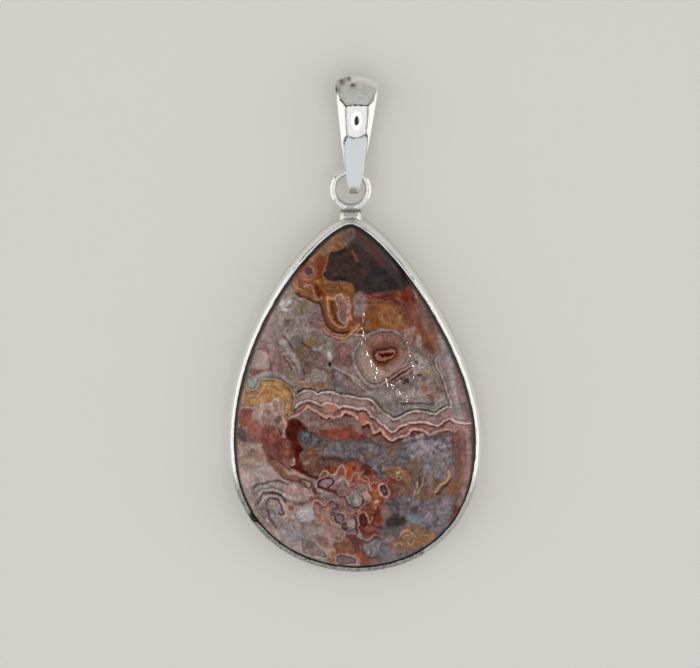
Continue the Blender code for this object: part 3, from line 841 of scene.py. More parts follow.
def paintFortification():
    # Above the main line: grey pockets, and thin lines that follow it
    takeSheet("bandsRight")
    fill([(-400, 760), (-100, 640), (200, 640), (600, 640), (900, 560), (980, 640), (1030, 760),
        (1060, 860), (900, 960), (600, 930), (300, 990), (200, 1040), (0, 880), (-250, 800)], "#9a8d88", 4,
        3, 8)
    zone = [(560, 620), (640, 560), (780, 500), (960, 420), (1060, 560), (1100, 700), (900, 740),
        (640, 740), (480, 700)]
    takeSheet("rightMiddle")
    lace(zone, [(0.4, "#8c7e76"), (0.5, "#a3968c"), (0.56, "#7a665b"), (0.63, "#94837a")], 60, 0.85, 50,
        0.09)
    lace([(840, 520), (1040, 500), (1080, 660), (960, 720), (800, 640)], [(0.46, "#8d6a5e"),
        (0.52, "#a98f83"), (0.57, "#755045")], 34, 0.8, 40, 0.09, seed=12)
    fill([(390, 710), (480, 680), (560, 650), (640, 700), (700, 740), (600, 790), (520, 830), (440, 790)],
        "#817872", 40, 14, 60)
    fill([(980, 740), (1060, 660), (1110, 700), (1130, 770), (1050, 800), (980, 830), (900, 810)],
        "#a29c97", 24, 8)
    stroke([(600, 740), (700, 725), (800, 735), (900, 745), (960, 735)], 26, "#574f50", 22, 8, 50)
    takeSheet("whole")
    for lift, colour, width in ((7.6, "#5f5553", 0.9), (6.5, "#a39894", 0.8), (5.2, "#6d605d", 1.1),
            (4.2, "#a89d96", 0.9)):
        lifted = [(px, py - lift) for px, py in mainLine[20:37]]
        stroke(lifted, width, colour, 1.0, 0.5, 6, strength=0.8)
    for lift, colour, width in ((5.4, "#9c8d86", 1.0), (4.2, "#6c5f58", 1.0)):
        lifted = [(px, py - lift) for px, py in mainLine[7:21]]
        stroke(lifted, width, colour, 1.0, 0.5, 6, strength=0.8)
    takeSheet("leftMiddle")
    stroke([(850, 530), (950, 540), (1080, 545), (1200, 530)], 22, "#8f6c40", 18, 6, 40)
    stroke([(820, 500), (900, 505), (960, 500)], 8, "#b8aaa2", 8)
    fill([(920, 420), (1000, 380), (1080, 350), (1170, 410), (1160, 480), (1050, 490), (930, 500)],
        [(-8, "#7b6a63"), (0, "#a0938d"), (24, "#958983")], 40, 24, 60)
    takeSheet("whole")
    fill(closedBelow(archTop + mainLine), [(-3.3, "#7c6f6a"), (-2.5, "#3a302f"), (-0.9, "#d6cbc3"),
        (0.9, "#4a3a38"), (2.5, "#987c75")], 1.4, 0.3, 8, curved=False)
    takeSheet("bandsLeft")
    stroke([(160, 325), (210, 290), (270, 268), (330, 268), (400, 278), (470, 305), (515, 322)], 1.8,
        "#3d3130", 1.0, 0.3, 8)
    stroke([(175, 405), (230, 352), (300, 338), (360, 338), (420, 348), (490, 375), (530, 365)], 1.9,
        "#4b3c3d", 1.0, 0.3, 8)
    stroke([(1180, 442), (1250, 452), (1320, 482), (1370, 522), (1420, 585), (1480, 645), (1568, 705)], 1.5,
        "#3f3636", 1.0, 0.3, 8)
    takeSheet("bandsRight")
    stroke([(0, 960), (80, 1020), (210, 1118), (300, 1090), (400, 1040), (500, 1000), (620, 993),
        (720, 1003), (800, 1032), (880, 1030), (940, 985), (1020, 945), (1110, 925)], 1.4, "#4a4040", 1.0,
        0.3, 8)
    # The pink band under the main line, with cloudy lilac places
    band = mainLine + secondLine[::-1]
    takeSheet("whole")
    mottle(band, "#a68f8a", 6, 0.5, 0.3, 0.8, 3, seed=81, stretch=(2.2, 1.0, 10))
    mottle(band, "#7d5f5a", 5, 0.62, 0.25, 0.6, 3, seed=83, stretch=(2.4, 0.8, 10))


def paintPinkLines():
    archLegs = placed("arch", [(120, 560), (180, 690), (290, 795), (520, 790), (620, 700), (750, 600),
        (890, 612), (975, 760), (1060, 700), (1085, 800), (1110, 860)])
    takeSheet("whole")
    fill(closedBelow(archLegs + secondLine), [(-2.6, "#7d605b"), (-1.2, "#d0b8b0"), (0.9, "#5c3532"),
        (2.9, "#a07b73"), (5.6, "#8d6860")], 1.3, 0.4, 6, curved=False)
    takeSheet("bandsLeft")
    stroke([(240, 520), (290, 487), (340, 480), (410, 492), (470, 520), (560, 565)], 1.7, "#6d4740", 1.1,
        0.4, 6)
    stroke([(600, 560), (690, 545), (750, 590)], 5.0, "#b0836f", 4, 1, 6)
    fill([(590, 580), (650, 545), (720, 560), (755, 620), (740, 690), (690, 700), (640, 660), (600, 640)],
        "#b08070", 2.5, 0.8, 6)
    stroke([(760, 640), (850, 605), (940, 590), (1040, 612), (1120, 650)], 2.6, "#6a4444", 1.6, 0.6, 6)
    takeSheet("whole")
    fill(closedBelow(thirdLine), [(-3.4, "#7a5049"), (-2.0, "#b48b80"), (-0.9, "#cca295"), (0.9, "#4a1d1a"),
        (3.4, "#6f4640")], 1.3, 0.5, 6, curved=False)
    takeSheet("bandsLeft")
    fill([(1150, 660), (1200, 630), (1250, 680), (1270, 770), (1240, 830), (1180, 810), (1130, 740)],
        "#b0776a", 2.2, 0.8, 6)
    takeSheet("bandsRight")
    fill([(1030, 1180), (1090, 1130), (1150, 1160), (1180, 1240), (1120, 1250), (1040, 1240)], "#a27c70", 2,
        0.5)
    stroke([(985, 1200), (1030, 1152), (1090, 1120), (1150, 1140), (1185, 1190)], 1.3, "#573030", 0.9, 0.3)
    for y in (1040, 1075, 1150, 1195):
        stroke([(1180, y - 20), (1250, y), (1330, y + 6)], 0.8, "#b9a29c", 0.8, 0.2, strength=0.7)


def paintArch():
    outer = [(180, 480), (240, 460), (300, 470), (340, 425), (400, 392), (470, 376), (560, 384), (640, 415),
        (710, 465), (765, 515), (812, 575), (805, 690), (770, 800), (740, 880), (600, 1000), (160, 1000)]
    takeSheet("leftMiddle")
    fill(outer, [(0, "#9a8e88"), (24, "#8b7f7e")], 16, 5, 30)
    fill([(255, 500), (300, 480), (335, 510), (320, 560), (285, 560)], "#8f9795", 22, 8)
    amber = [(180, 500), (215, 530), (250, 560), (300, 585), (325, 560), (350, 500), (385, 462), (450, 446),
        (540, 448), (625, 470), (700, 520), (765, 590), (800, 670), (790, 770), (745, 880), (600, 1000),
        (120, 1000), (120, 560)]
    fill(amber, [(-12, "#645f5f"), (6, "#b8a693"), (20, "#84603a"), (34, "#6c4d2c"), (44, "#a58263"),
        (74, "#ba9676"), (92, "#a5774a"), (124, "#b2845a")], 11, 4, 34)
    mottle(amber, "#b3854c", 36, 0.58, 0.25, 0.6, 12, seed=87, stretch=(1.6, 0.8, 20))
    mottle(amber, "#75512a", 30, 0.62, 0.2, 0.6, 12, seed=89, stretch=(1.6, 0.8, 20))
    stroke([(185, 560), (215, 640), (265, 700), (320, 705), (355, 660), (400, 610)], 14, "#b8977a", 12, 4)
    core = [(130, 740), (175, 720), (215, 770), (260, 795), (340, 790), (405, 775), (450, 745), (505, 740),
        (522, 700), (560, 682), (605, 685), (640, 725), (657, 790), (640, 850), (662, 930), (690, 990),
        (672, 1060), (662, 1130), (700, 1190), (715, 1300), (760, 1500), (60, 1500), (90, 900)]
    fill(core, [(-7, "#6e4a3c"), (-1, "#bfa192"), (14, "#a07a70")], 11, 4, 30)
    lace([(330, 800), (500, 740), (560, 690), (650, 760), (640, 1000), (560, 1100), (420, 1080),
        (330, 960)], [(0.36, "#b2968e"), (0.44, "#8a6862"), (0.5, "#b9a096"), (0.56, "#94736d"),
        (0.62, "#c2aba1")], 78, 0.85, 30, 0.07, seed=94, stretch=(0.65, 1.5, -14))
    fill([(520, 720), (560, 700), (600, 720), (612, 800), (590, 870), (560, 860), (530, 790)],
        [(0, "#baa398"), (12, "#8f7069"), (30, "#a58a82")], 14, 5)
    fill([(560, 930), (600, 890), (640, 920), (620, 980), (590, 1010), (565, 980)], "#6b4b4b", 16, 6,
        strength=0.8)
    fill([(140, 850), (200, 810), (290, 830), (285, 920), (250, 1010), (180, 1040), (140, 1040)], "#764037",
        26, 10)
    fill([(140, 950), (190, 930), (230, 960), (200, 1030), (140, 1040)], "#8a4231", 26, 8)
    fill([(240, 990), (300, 940), (400, 1010), (420, 1120), (440, 1300), (330, 1330), (250, 1260),
        (225, 1120)], "#8f564c", 34, 12, 50)
    fill([(262, 1030), (290, 1010), (330, 1040), (325, 1085), (285, 1100)], "#a34e3a", 22, 8)
    fill([(122, 1050), (170, 1040), (210, 1090), (235, 1170), (220, 1225), (180, 1225), (125, 1170)],
        "#553d41", 26, 10)
    fill([(400, 1080), (500, 1040), (580, 1020), (640, 1120), (600, 1200), (720, 1210), (760, 1420),
        (420, 1420)], "#7a4038", 34, 12, 50)
    lace([(380, 1040), (560, 1030), (600, 1200), (700, 1300), (640, 1420), (440, 1400), (240, 1240)],
        [(0.45, "#8c524a"), (0.52, "#a5766c"), (0.57, "#74332b"), (0.64, "#8f5a52")], 60, 0.7, 40, 0.09,
        seed=96)
    fill([(150, 1240), (250, 1230), (330, 1290), (420, 1330), (480, 1425), (150, 1425)], "#a08078", 40, 12,
        60)
    stroke([(575, 1020), (590, 1090), (620, 1160), (670, 1195)], 13, "#b28b70", 12, 4)
    stroke([(640, 830), (668, 930), (696, 1000), (672, 1080), (665, 1140), (705, 1192)], 12, "#b78f83", 11,
        4)


def paintQuartz():
    # Reddish ground under the third line, a brick patch, and the grainy quartz with a dark red mass
    # at its left
    ground = [(px, py + 6.0) for px, py in thirdLine[16:]] + placed("lower", [(1500, 300), (1480, 700),
        (1300, 1000), (800, 1100), (500, 1000), (480, 700), (300, 500), (330, 260)])
    takeSheet("whole")
    fill(ground, "#70514a", 5, 1.7)
    mottle(ground, "#8a655b", 10, 0.5, 0.3, 0.7, 3.4, seed=101)
    mottle(ground, "#58382f", 8.5, 0.58, 0.25, 0.7, 3.4, seed=103)
    upper = [(720, 980), (830, 900), (930, 830), (1020, 860), (1150, 950), (1300, 930), (1450, 910),
        (1568, 980), (1568, 1130), (1300, 1060), (1080, 1080), (800, 1120)]
    takeSheet("leftMiddle")
    fill(upper, "#806159", 34, 12)
    lace(upper, [(0.4, "#927870"), (0.48, "#6d4c44"), (0.55, "#a08a82"), (0.62, "#744f46")], 62, 0.85, 30,
        0.09, seed=105)
    lace([(870, 900), (950, 850), (1030, 890), (1090, 960), (1060, 1040), (900, 1040)], [(0.42, "#9c8c84"),
        (0.5, "#6d5852"), (0.57, "#a5968e"), (0.63, "#7a5f57")], 50, 0.8, 30, 0.09, seed=107)
    quartz = [(395, 285), (440, 290), (520, 300), (600, 322), (700, 322), (800, 312), (870, 322),
        (950, 345), (1000, 355), (1080, 322), (1180, 300), (1250, 292), (1345, 285), (1375, 330),
        (1368, 430), (1340, 520), (1290, 560), (1230, 540), (1160, 500), (1080, 480), (1010, 470),
        (965, 500), (935, 545), (900, 510), (850, 495), (790, 465), (740, 448), (680, 438), (620, 430),
        (560, 410), (500, 375), (440, 345), (400, 330)]
    takeSheet("lower")
    fill(quartz, "#746b6c", 30, 20, 30)
    mottle(quartz, "#8a8285", 17, 0.52, 0.25, 0.85, 14, seed=71, stretch=(0.8, 1.2, 20))
    mottle(quartz, "#54494a", 15, 0.57, 0.2, 0.8, 14, seed=73)
    mottle(quartz, "#6a6470", 60, 0.55, 0.3, 0.5, 20, seed=75)
    mottle(quartz, "#7d5f50", 70, 0.58, 0.25, 0.6, 20, seed=76)
    mottle([(1050, 320), (1330, 300), (1320, 480), (1180, 520)], "#a49da4", 26, 0.52, 0.25, 0.8, 20,
        seed=77)
    stroke([(500, 312), (620, 330), (760, 330), (880, 345), (960, 365), (1060, 345), (1180, 318),
        (1320, 300)], 20, "#604a44", 24, 8, strength=0.8)
    takeSheet("leftMiddle")
    fill([(1090, 1080), (1200, 1060), (1330, 1060), (1440, 1040), (1500, 1070), (1568, 1110), (1700, 1180),
        (1600, 1190), (1450, 1180), (1300, 1160), (1150, 1150)], "#6b3b32", 44, 20, 50)
    mottle([(1090, 1080), (1440, 1030), (1640, 1150), (1300, 1180)], "#86493a", 44, 0.48, 0.25, 0.9, 24,
        seed=79)
    mass = [(700, 960), (760, 940), (860, 960), (930, 1020), (930, 1080), (860, 1120), (840, 1200),
        (800, 1300), (860, 1380), (1000, 1420), (1000, 1568), (760, 1600), (700, 1400), (690, 1200),
        (680, 1060)]
    fill(mass, "#56221b", 36, 14, 50)
    mottle(mass, "#33150f", 60, 0.5, 0.3, 0.8, 30, seed=81)
    mottle(mass, "#743122", 50, 0.62, 0.2, 0.7, 30, seed=82)
    fill([(840, 1090), (960, 1070), (1060, 1130), (1090, 1240), (1000, 1280), (880, 1240), (820, 1170)],
        "#544b4d", 50, 18, 60)
    mottle([(880, 1100), (1060, 1130), (1060, 1260), (900, 1230)], "#7f797d", 30, 0.54, 0.22, 0.9, 24,
        seed=83)
    takeSheet("lowerLeft")
    fill([(640, 0), (700, -40), (770, 60), (790, 180), (760, 330), (700, 335), (640, 260), (630, 120)],
        "#672318", 40, 14, 60)
    fill([(720, 80), (790, 70), (810, 170), (760, 210), (720, 170)], "#42170f", 36, 12)


def paintUnderQuartz():
    olive = [(780, 150), (900, 110), (1000, 130), (1060, 210), (1180, 260), (1100, 360), (1010, 400),
        (930, 420), (840, 360), (780, 260)]
    takeSheet("lowerLeft")
    fill(olive, "#6d4b39", 40, 26, 50)
    lace(olive, [(0.38, "#7f6a60"), (0.46, "#4d2f24"), (0.53, "#8a7468"), (0.6, "#6a4028"),
        (0.66, "#8f8078")], 64, 0.9, 30, 0.09, seed=111)
    mottle([(830, 130), (1000, 130), (1030, 220), (860, 220)], "#844c29", 44, 0.46, 0.25, 0.9, 24, seed=113)
    stroke([(1060, 210), (1160, 230), (1260, 250), (1375, 290)], 60, "#4a2c24", 44, 14, 60, strength=0.85)
    takeSheet("lowerRight")
    stroke([(60, 110), (130, 130), (220, 190), (300, 240), (360, 290)], 44, "#4c302b", 40, 14, 60,
        strength=0.85)
    fiery = [(1040, 330), (1180, 280), (1300, 290), (1420, 250), (1520, 300), (1600, 330), (1650, 420),
        (1560, 480), (1440, 520), (1330, 480), (1250, 440), (1130, 420)]
    takeSheet("lowerLeft")
    fill(fiery, "#7f5044", 50, 40, 60)
    mottle(fiery, "#98563a", 50, 0.54, 0.22, 0.9, 24, seed=115, stretch=(0.8, 1.4, 10))
    mottle(fiery, "#5c2318", 44, 0.6, 0.2, 0.8, 24, seed=117)
    fill([(1320, 340), (1370, 330), (1400, 420), (1370, 520), (1335, 470), (1320, 400)], "#ad5a3a", 34, 16)
    takeSheet("lowerRight")
    fill([(10, 180), (70, 160), (90, 240), (70, 340), (20, 360), (0, 260)], "#a8563a", 40, 16)
    pinks = [(1130, 440), (1260, 440), (1330, 500), (1460, 520), (1600, 480), (1700, 560), (1700, 700),
        (1500, 760), (1330, 700), (1180, 640)]
    takeSheet("lowerLeft")
    fill(pinks, "#84706e", 34, 12)
    lace(pinks, [(0.4, "#96827f"), (0.48, "#734a45"), (0.54, "#ad9089"), (0.6, "#7f4a40"),
        (0.66, "#8a7674")], 76, 0.85, 30, seed=119)
    stroke([(1140, 470), (1190, 508), (1250, 490), (1285, 440), (1320, 470), (1350, 540)], 22, "#b59f9b",
        14, 5, 40)
    stroke([(1020, 420), (1040, 380), (1080, 362), (1110, 390), (1105, 430)], 14, "#b1826f", 11, 4)
    fill([(992, 560), (1000, 505), (1060, 468), (1130, 458), (1172, 495), (1135, 560), (1070, 590)],
        [(-26, "#ac8b83"), (-12, "#532122"), (14, "#897478")], 16, 5)
    stroke([(1000, 560), (1060, 598), (1130, 600), (1190, 625)], 24, "#5a1f1d", 16, 6)
    takeSheet("lowerRight")
    fill([(30, 560), (90, 530), (170, 540), (205, 590), (190, 650), (120, 675), (60, 650)],
        [(-16, "#4d2120"), (6, "#827270")], 20, 6)
    fill([(200, 520), (250, 490), (300, 530), (315, 600), (270, 650), (230, 620)], "#a98a85", 24, 8)


def paintLowerLeft():
    ground = [(-40, 250), (60, 200), (400, 190), (640, 330), (800, 420), (1000, 440), (1100, 640),
        (1400, 700), (1500, 1100), (1375, 1568), (-40, 1568)]
    takeSheet("lowerLeft")
    fill(ground, "#94807a", 40, 12)
    lace(ground, [(0.36, "#a4928d"), (0.46, "#846f6a"), (0.54, "#a9999a"), (0.62, "#7e6761")], 150, 0.7, 40,
        0.12, seed=121)
    peach = [(20, 120), (40, 60), (200, 40), (350, 60), (400, 140), (395, 210), (330, 290), (250, 330),
        (170, 328), (50, 285)]
    fill(peach, [(0, "#a58a76"), (40, "#a3867a"), (80, "#99786f")], 44, 16)
    mottle(peach, "#ab9184", 60, 0.55, 0.3, 0.7, 30, seed=123)
    disc((195, 120), (30, 30), 0, [(0, "#80564c"), (16, "#a0776c")], 12, 3)
    white = [(50, 320), (170, 345), (260, 345), (340, 300), (395, 240), (430, 310), (480, 380), (560, 450),
        (640, 500), (740, 560), (840, 592), (940, 640), (900, 690), (850, 722), (740, 722), (640, 690),
        (560, 640), (480, 560), (300, 520), (110, 560)]
    fill(white, "#a8938d", 22, 8)
    lace(white, [(0.4, "#b6a39d"), (0.5, "#a08a86"), (0.57, "#bcaaa5"), (0.64, "#a38782")], 100, 0.8, 20,
        0.1, seed=125, stretch=(1.3, 0.9, 30))
    mottle([(640, 580), (900, 600), (880, 700), (660, 680)], "#ae8078", 60, 0.5, 0.3, 0.7, 30, seed=126)
    stroke([(350, 90), (420, 230), (480, 310), (560, 390), (650, 450), (760, 480)], 84, "#7a5850", 30, 10,
        60)
    stroke([(480, 290), (560, 340), (620, 400)], 26, "#976549", 24, 8)
    stroke([(385, 170), (430, 220), (500, 250), (600, 330), (700, 400)], 18, "#4f332e", 16, 5)
    stroke([(540, 410), (600, 460), (680, 480), (760, 490)], 16, "#5a3d38", 16, 5)
    stroke([(640, 400), (720, 400), (800, 440), (860, 470)], 40, "#a0827a", 26, 8)
    rose = [(360, 40), (500, -20), (640, 0), (640, 260), (690, 340), (600, 320), (500, 230), (400, 160)]
    fill(rose, "#794640", 36, 12)
    lace(rose, [(0.42, "#8d5c54"), (0.5, "#6b352f"), (0.57, "#a3766c"), (0.63, "#7a433a")], 80, 0.8, 30,
        0.09, seed=127)
    stroke([(680, 330), (760, 345), (830, 395), (900, 440), (960, 455), (1010, 440)], 46, "#4f1e1c", 26, 8)
    fill([(770, 480), (820, 470), (870, 490), (910, 520), (905, 570), (860, 580), (820, 550)],
        [(-8, "#57393a"), (12, "#8d7672"), (28, "#b5a29c")], 14)
    stroke([(930, 590), (970, 640), (1000, 650)], 36, "#6a4540", 24, 8)
    fill([(880, 700), (940, 670), (1010, 680), (1000, 740), (920, 745)], "#86594a", 24, 8)
    fill([(1040, 660), (1100, 630), (1165, 660), (1150, 740), (1100, 785), (1050, 740)], "#9c9396", 28, 10)


def paintCurl():
    takeSheet("lowerLeft")
    stroke([(215, 590), (245, 545), (330, 530), (400, 500), (470, 488), (540, 490), (620, 530)], 26,
        "#574b4a", 16, 5)
    for curve, colour, width in (
            ([(220, 620), (260, 575), (350, 560), (430, 528), (520, 525), (600, 570)], "#a99d97", 16),
            ([(240, 640), (290, 605), (380, 590), (470, 580), (560, 610), (640, 660)], "#837570", 14),
            ([(255, 720), (290, 650), (370, 610), (470, 612), (560, 655), (620, 705), (680, 700)], "#b8a9a2",
             15),
            ([(270, 780), (290, 700), (335, 645), (420, 638), (500, 650), (560, 700), (600, 750)], "#513d3d",
             22),
            ([(240, 800), (250, 730), (275, 680)], "#62504e", 14),
            ([(305, 790), (330, 710), (390, 672), (480, 680), (540, 730), (575, 800), (605, 880), (580, 935),
             (510, 930)], "#b5a59f", 17),
            ([(365, 770), (390, 712), (440, 698), (500, 722), (535, 770), (560, 840), (582, 885), (530, 900),
             (495, 860), (470, 800)], "#563f42", 19),
            ([(400, 830), (420, 770), (450, 760), (475, 820), (500, 880)], "#b09e98", 15),
            ([(345, 840), (350, 900), (400, 1000), (460, 1060)], "#a08d89", 20),
            ([(385, 840), (400, 920), (440, 990), (480, 1060)], "#6b4c4f", 24),
            ([(300, 830), (320, 910), (370, 1000), (430, 1080)], "#7f6c69", 16)):
        stroke(curve, 1.3 * width, colour, 10, 4, 40)
    disc((660, 818), (54, 54), 0, [(0, "#ad937f"), (16, "#8a6a5a"), (30, "#6e4d42"), (40, "#8d6a58")], 12,
        3)
    disc((668, 975), (54, 48), 0, [(0, "#b09a8c"), (13, "#8d766d")], 12, 3)
    disc((840, 880), (105, 92), 0, "#bcb0b2", 90, 40, 80)
    fill([(540, 1020), (700, 1010), (790, 1060), (790, 1180), (680, 1260), (580, 1200)], "#918787", 110, 40,
        80)
    mottle([(800, 1000), (980, 1000), (1000, 1180), (840, 1200)], "#7f6a62", 60, 0.5, 0.3, 0.9, seed=129)
    stroke([(740, 750), (800, 770), (870, 750)], 16, "#5c4a48", 14, 5)
    stroke([(790, 980), (810, 1030), (790, 1100)], 14, "#75645f", 14, 5)
    fill([(1000, 1180), (1100, 1180), (1120, 1270), (1060, 1310), (1000, 1260)], "#79574d", 50, 16)
    lens = [(790, 1210), (870, 1195), (950, 1240), (1030, 1320), (1110, 1400), (1010, 1410), (880, 1380),
        (800, 1330)]
    fill(lens, [(-16, "#b3a191"), (0, "#6a5850"), (12, "#866f69")], 14, 5)
    mottle(lens, "#5f4f45", 26, 0.56, 0.2, 0.8, 14, seed=130)
    mottle(lens, "#a08d86", 24, 0.6, 0.2, 0.8, 14, seed=131)


def paintLowerMiddle():
    # Crazy lace: small dark and grey cells with pink rims
    cells = [(930, 740), (1040, 700), (1180, 660), (1360, 700), (1500, 760), (1640, 760), (1640, 960),
        (1480, 1120), (1320, 1180), (1160, 1060), (1000, 980)]
    takeSheet("lowerLeft")
    fill(cells, "#84605a", 34, 12)
    lace(cells, [(0.3, "#8d7377"), (0.38, "#5c3433"), (0.44, "#b08a7f"), (0.49, "#8f6258"),
        (0.55, "#b4938a"), (0.6, "#5f3431"), (0.67, "#857075")], 84, 0.9, 30, 0.07, seed=133)
    fill([(990, 880), (1080, 880), (1110, 960), (1080, 1040), (1010, 1000)], "#9f7568", 30, 10)
    stroke([(925, 790), (940, 745), (990, 730), (1040, 790), (1100, 850), (1120, 920), (1150, 1000),
        (1230, 1060)], 14, "#b3897b", 12, 4, 40)
    fill([(1190, 900), (1240, 885), (1295, 920), (1305, 970), (1260, 1010), (1205, 980)], [(-22, "#b38f85"),
        (-8, "#4e3335"), (16, "#84787d")], 14)
    fill([(1130, 880), (1170, 860), (1205, 885), (1180, 915), (1145, 910)], [(-10, "#a98379"),
        (0, "#56393a"), (12, "#7c6a6e")], 12, 3)
    fill([(1275, 1010), (1320, 1000), (1355, 1045), (1325, 1095), (1285, 1070)], [(-14, "#b38d80"),
        (-2, "#4f2a26"), (16, "#7a554c")], 12, 3)
    fill([(1030, 1060), (1150, 1060), (1280, 1100), (1200, 1180), (1080, 1170)], "#9b7a72", 50, 16)
    # The red cluster to the right, with a diamond, a spiral and a long dark cell
    red = [(180, 240), (320, 250), (360, 380), (560, 370), (590, 470), (560, 600), (470, 660), (400, 720),
        (470, 760), (480, 850), (380, 930), (240, 980), (160, 900), (140, 780), (240, 700), (300, 600),
        (280, 440), (180, 380)]
    takeSheet("lowerRight")
    fill(red, "#7d4537", 40, 26)
    lace(red, [(0.42, "#915948"), (0.49, "#692b22"), (0.56, "#a06a58"), (0.62, "#7c3d2e")], 76, 0.8, 30,
        0.09, seed=135)
    fill([(190, 200), (290, 190), (310, 270), (260, 300), (200, 270)], "#582721", 34, 12, strength=0.8)
    stroke([(220, 260), (180, 330), (240, 380), (290, 410), (310, 470), (360, 500)], 16, "#b38678", 13, 4)
    disc((370, 432), (52, 42), 10, [(-8, "#ad8072"), (4, "#662820"), (18, "#8a4833"), (32, "#6b2e22")], 12,
        4)
    fill([(430, 428), (472, 424), (500, 460), (522, 505), (492, 560), (450, 540), (428, 490)],
        [(-34, "#8a4a3a"), (-22, "#bd958a"), (-2, "#472a2e"), (26, "#6c5c60")], 12, 3)
    fill([(330, 480), (400, 500), (420, 580), (400, 660), (330, 700), (320, 600)], "#84553a", 28, 10)
    disc((385, 620), (22, 22), 0, "#c5a084", 16, 5)
    stroke([(400, 655), (375, 690), (350, 780), (320, 850), (295, 870), (275, 810), (255, 755), (215, 735),
        (175, 750), (152, 800), (165, 900), (158, 980), (190, 1050)], 15, "#b58f84", 12, 4, 40)
    fill([(180, 780), (215, 758), (245, 780), (265, 850), (275, 900), (235, 930), (190, 900), (172, 840)],
        [(0, "#4f211c"), (22, "#673a30")], 14)
    fill([(350, 740), (420, 700), (480, 750), (480, 830), (400, 870), (340, 840)], "#78382a", 34, 12)
    fill([(20, 850), (60, 820), (115, 840), (125, 910), (80, 950), (30, 930)], [(-12, "#5b3a38"),
        (0, "#9d8b87")], 26, 12)
    stroke([(110, 790), (130, 860), (125, 930), (150, 1000)], 15, "#482a2b", 12, 4)
    stroke([(180, 950), (240, 1005), (310, 1015), (370, 1000), (430, 1020)], 56, "#65221d", 26, 10)
    stroke([(180, 1050), (230, 1075), (285, 1090), (330, 1050), (390, 1025), (450, 1050)], 14, "#b08375",
        12, 4)
    fill([(10, 1030), (120, 1030), (190, 1095), (180, 1170), (240, 1260), (300, 1340), (200, 1340),
        (110, 1240), (50, 1140)], "#5a2a26", 26, 8)
    fill([(140, 1240), (220, 1240), (300, 1330), (260, 1380), (170, 1350)], "#824029", 34, 12)
    stroke([(-10, 1080), (40, 1170), (110, 1235), (150, 1290), (190, 1340)], 13, "#b3867a", 11, 4)
    fill([(190, 1110), (290, 1130), (350, 1060), (420, 1050), (440, 1150), (420, 1270), (320, 1300),
        (240, 1240)], [(-14, "#4f2927"), (8, "#6b6063")], 22, 8)
    mottle([(220, 1140), (400, 1100), (400, 1260), (270, 1260)], "#8f878a", 28, 0.58, 0.2, 0.8, 20,
        seed=137, stretch=(0.6, 1.8, 10))
    base = [(1180, 1240), (1300, 1180), (1400, 1260), (1460, 1400), (1320, 1500), (1100, 1480),
        (1130, 1340)]
    takeSheet("lowerLeft")
    fill(base, "#774636", 50, 30)
    mottle(base, "#95603c", 50, 0.54, 0.25, 0.8, 24, seed=139)
    disc((1235, 1190), (36, 38), 0, [(-8, "#ad8272"), (4, "#542f2a"), (18, "#a0684a")], 12, 3)
    fill([(1210, 1440), (1230, 1400), (1300, 1390), (1375, 1400), (1440, 1420), (1430, 1490), (1230, 1500)],
        [(-16, "#ae8575"), (-2, "#503536"), (18, "#6c595c")], 16, 6)
    stroke([(1120, 1380), (1150, 1330), (1190, 1340), (1190, 1400), (1140, 1440)], 13, "#a9806f", 12, 4)
    takeSheet("lacy")
    disc((915, 545), (110, 100), 0, "#77625e", 40, 24)
    mottle([(820, 460), (1010, 460), (1020, 640), (840, 640)], "#9b908e", 30, 0.5, 0.25, 0.9, 20, seed=161,
        stretch=(0.5, 2.0, 4))
    for curve, colour, width in (
            ([(420, 240), (450, 190), (520, 145), (550, 190), (600, 215), (660, 190), (700, 130), (740, 85),
             (790, 130), (800, 200), (765, 250), (790, 310), (830, 380)], "#b89a90", 17),
            ([(790, 200), (830, 260), (870, 300), (890, 220), (960, 180), (985, 260)], "#b08577", 14),
            ([(1000, 190), (1060, 230), (1120, 270), (1140, 330), (1110, 380), (1100, 460), (1150, 540),
             (1120, 620)], "#a98a82", 16),
            ([(560, 250), (480, 280), (420, 330), (395, 385), (440, 410), (560, 430), (640, 465), (700, 520),
             (785, 520)], "#542c30", 20),
            ([(770, 300), (790, 360), (840, 400), (900, 380), (960, 330)], "#5d4443", 15),
            ([(1110, 380), (1130, 450), (1180, 500), (1200, 560)], "#5a342c", 16),
            ([(785, 515), (800, 590), (850, 640), (940, 672), (1020, 645), (1055, 590), (1025, 510)],
             "#4c2926", 20),
            ([(740, 560), (760, 640), (830, 700), (940, 720), (1010, 700)], "#a88277", 15),
            ([(340, 590), (400, 600), (445, 650), (500, 668), (530, 622), (600, 600), (650, 640), (680, 690),
             (600, 702)], "#574041", 16),
            ([(325, 660), (345, 590), (410, 568), (480, 635), (540, 600), (600, 565), (690, 590),
             (720, 650)], "#b39e96", 15),
            ([(380, 700), (430, 760), (470, 800), (450, 860), (400, 880), (380, 820)], "#b08e80", 14),
            ([(530, 730), (520, 780), (540, 830), (600, 880), (660, 910), (730, 960)], "#b39b93", 14),
            ([(560, 860), (620, 930), (700, 990), (780, 1040), (740, 1110), (700, 1160)], "#b09088", 13),
            ([(930, 820), (950, 900), (930, 980), (960, 1050)], "#47292b", 16),
            ([(810, 1075), (900, 1092), (1000, 1150), (1115, 1192), (1180, 1140), (1260, 1110),
             (1340, 1140)], "#472927", 20),
            ([(1240, 640), (1260, 720), (1210, 800), (1180, 900), (1260, 960), (1380, 1040)], "#4b2825", 18),
            ([(1260, 1010), (1330, 1060), (1420, 1070), (1500, 1110)], "#744834", 22),
            ([(560, 1290), (620, 1250), (600, 1330), (560, 1380)], "#a98a7c", 13),
            ([(140, 270), (190, 310), (240, 350)], "#4d3836", 17),
            ([(300, 330), (350, 400), (390, 460)], "#4f3a36", 18)):
        stroke(curve, width, colour, 12, 4, 40)


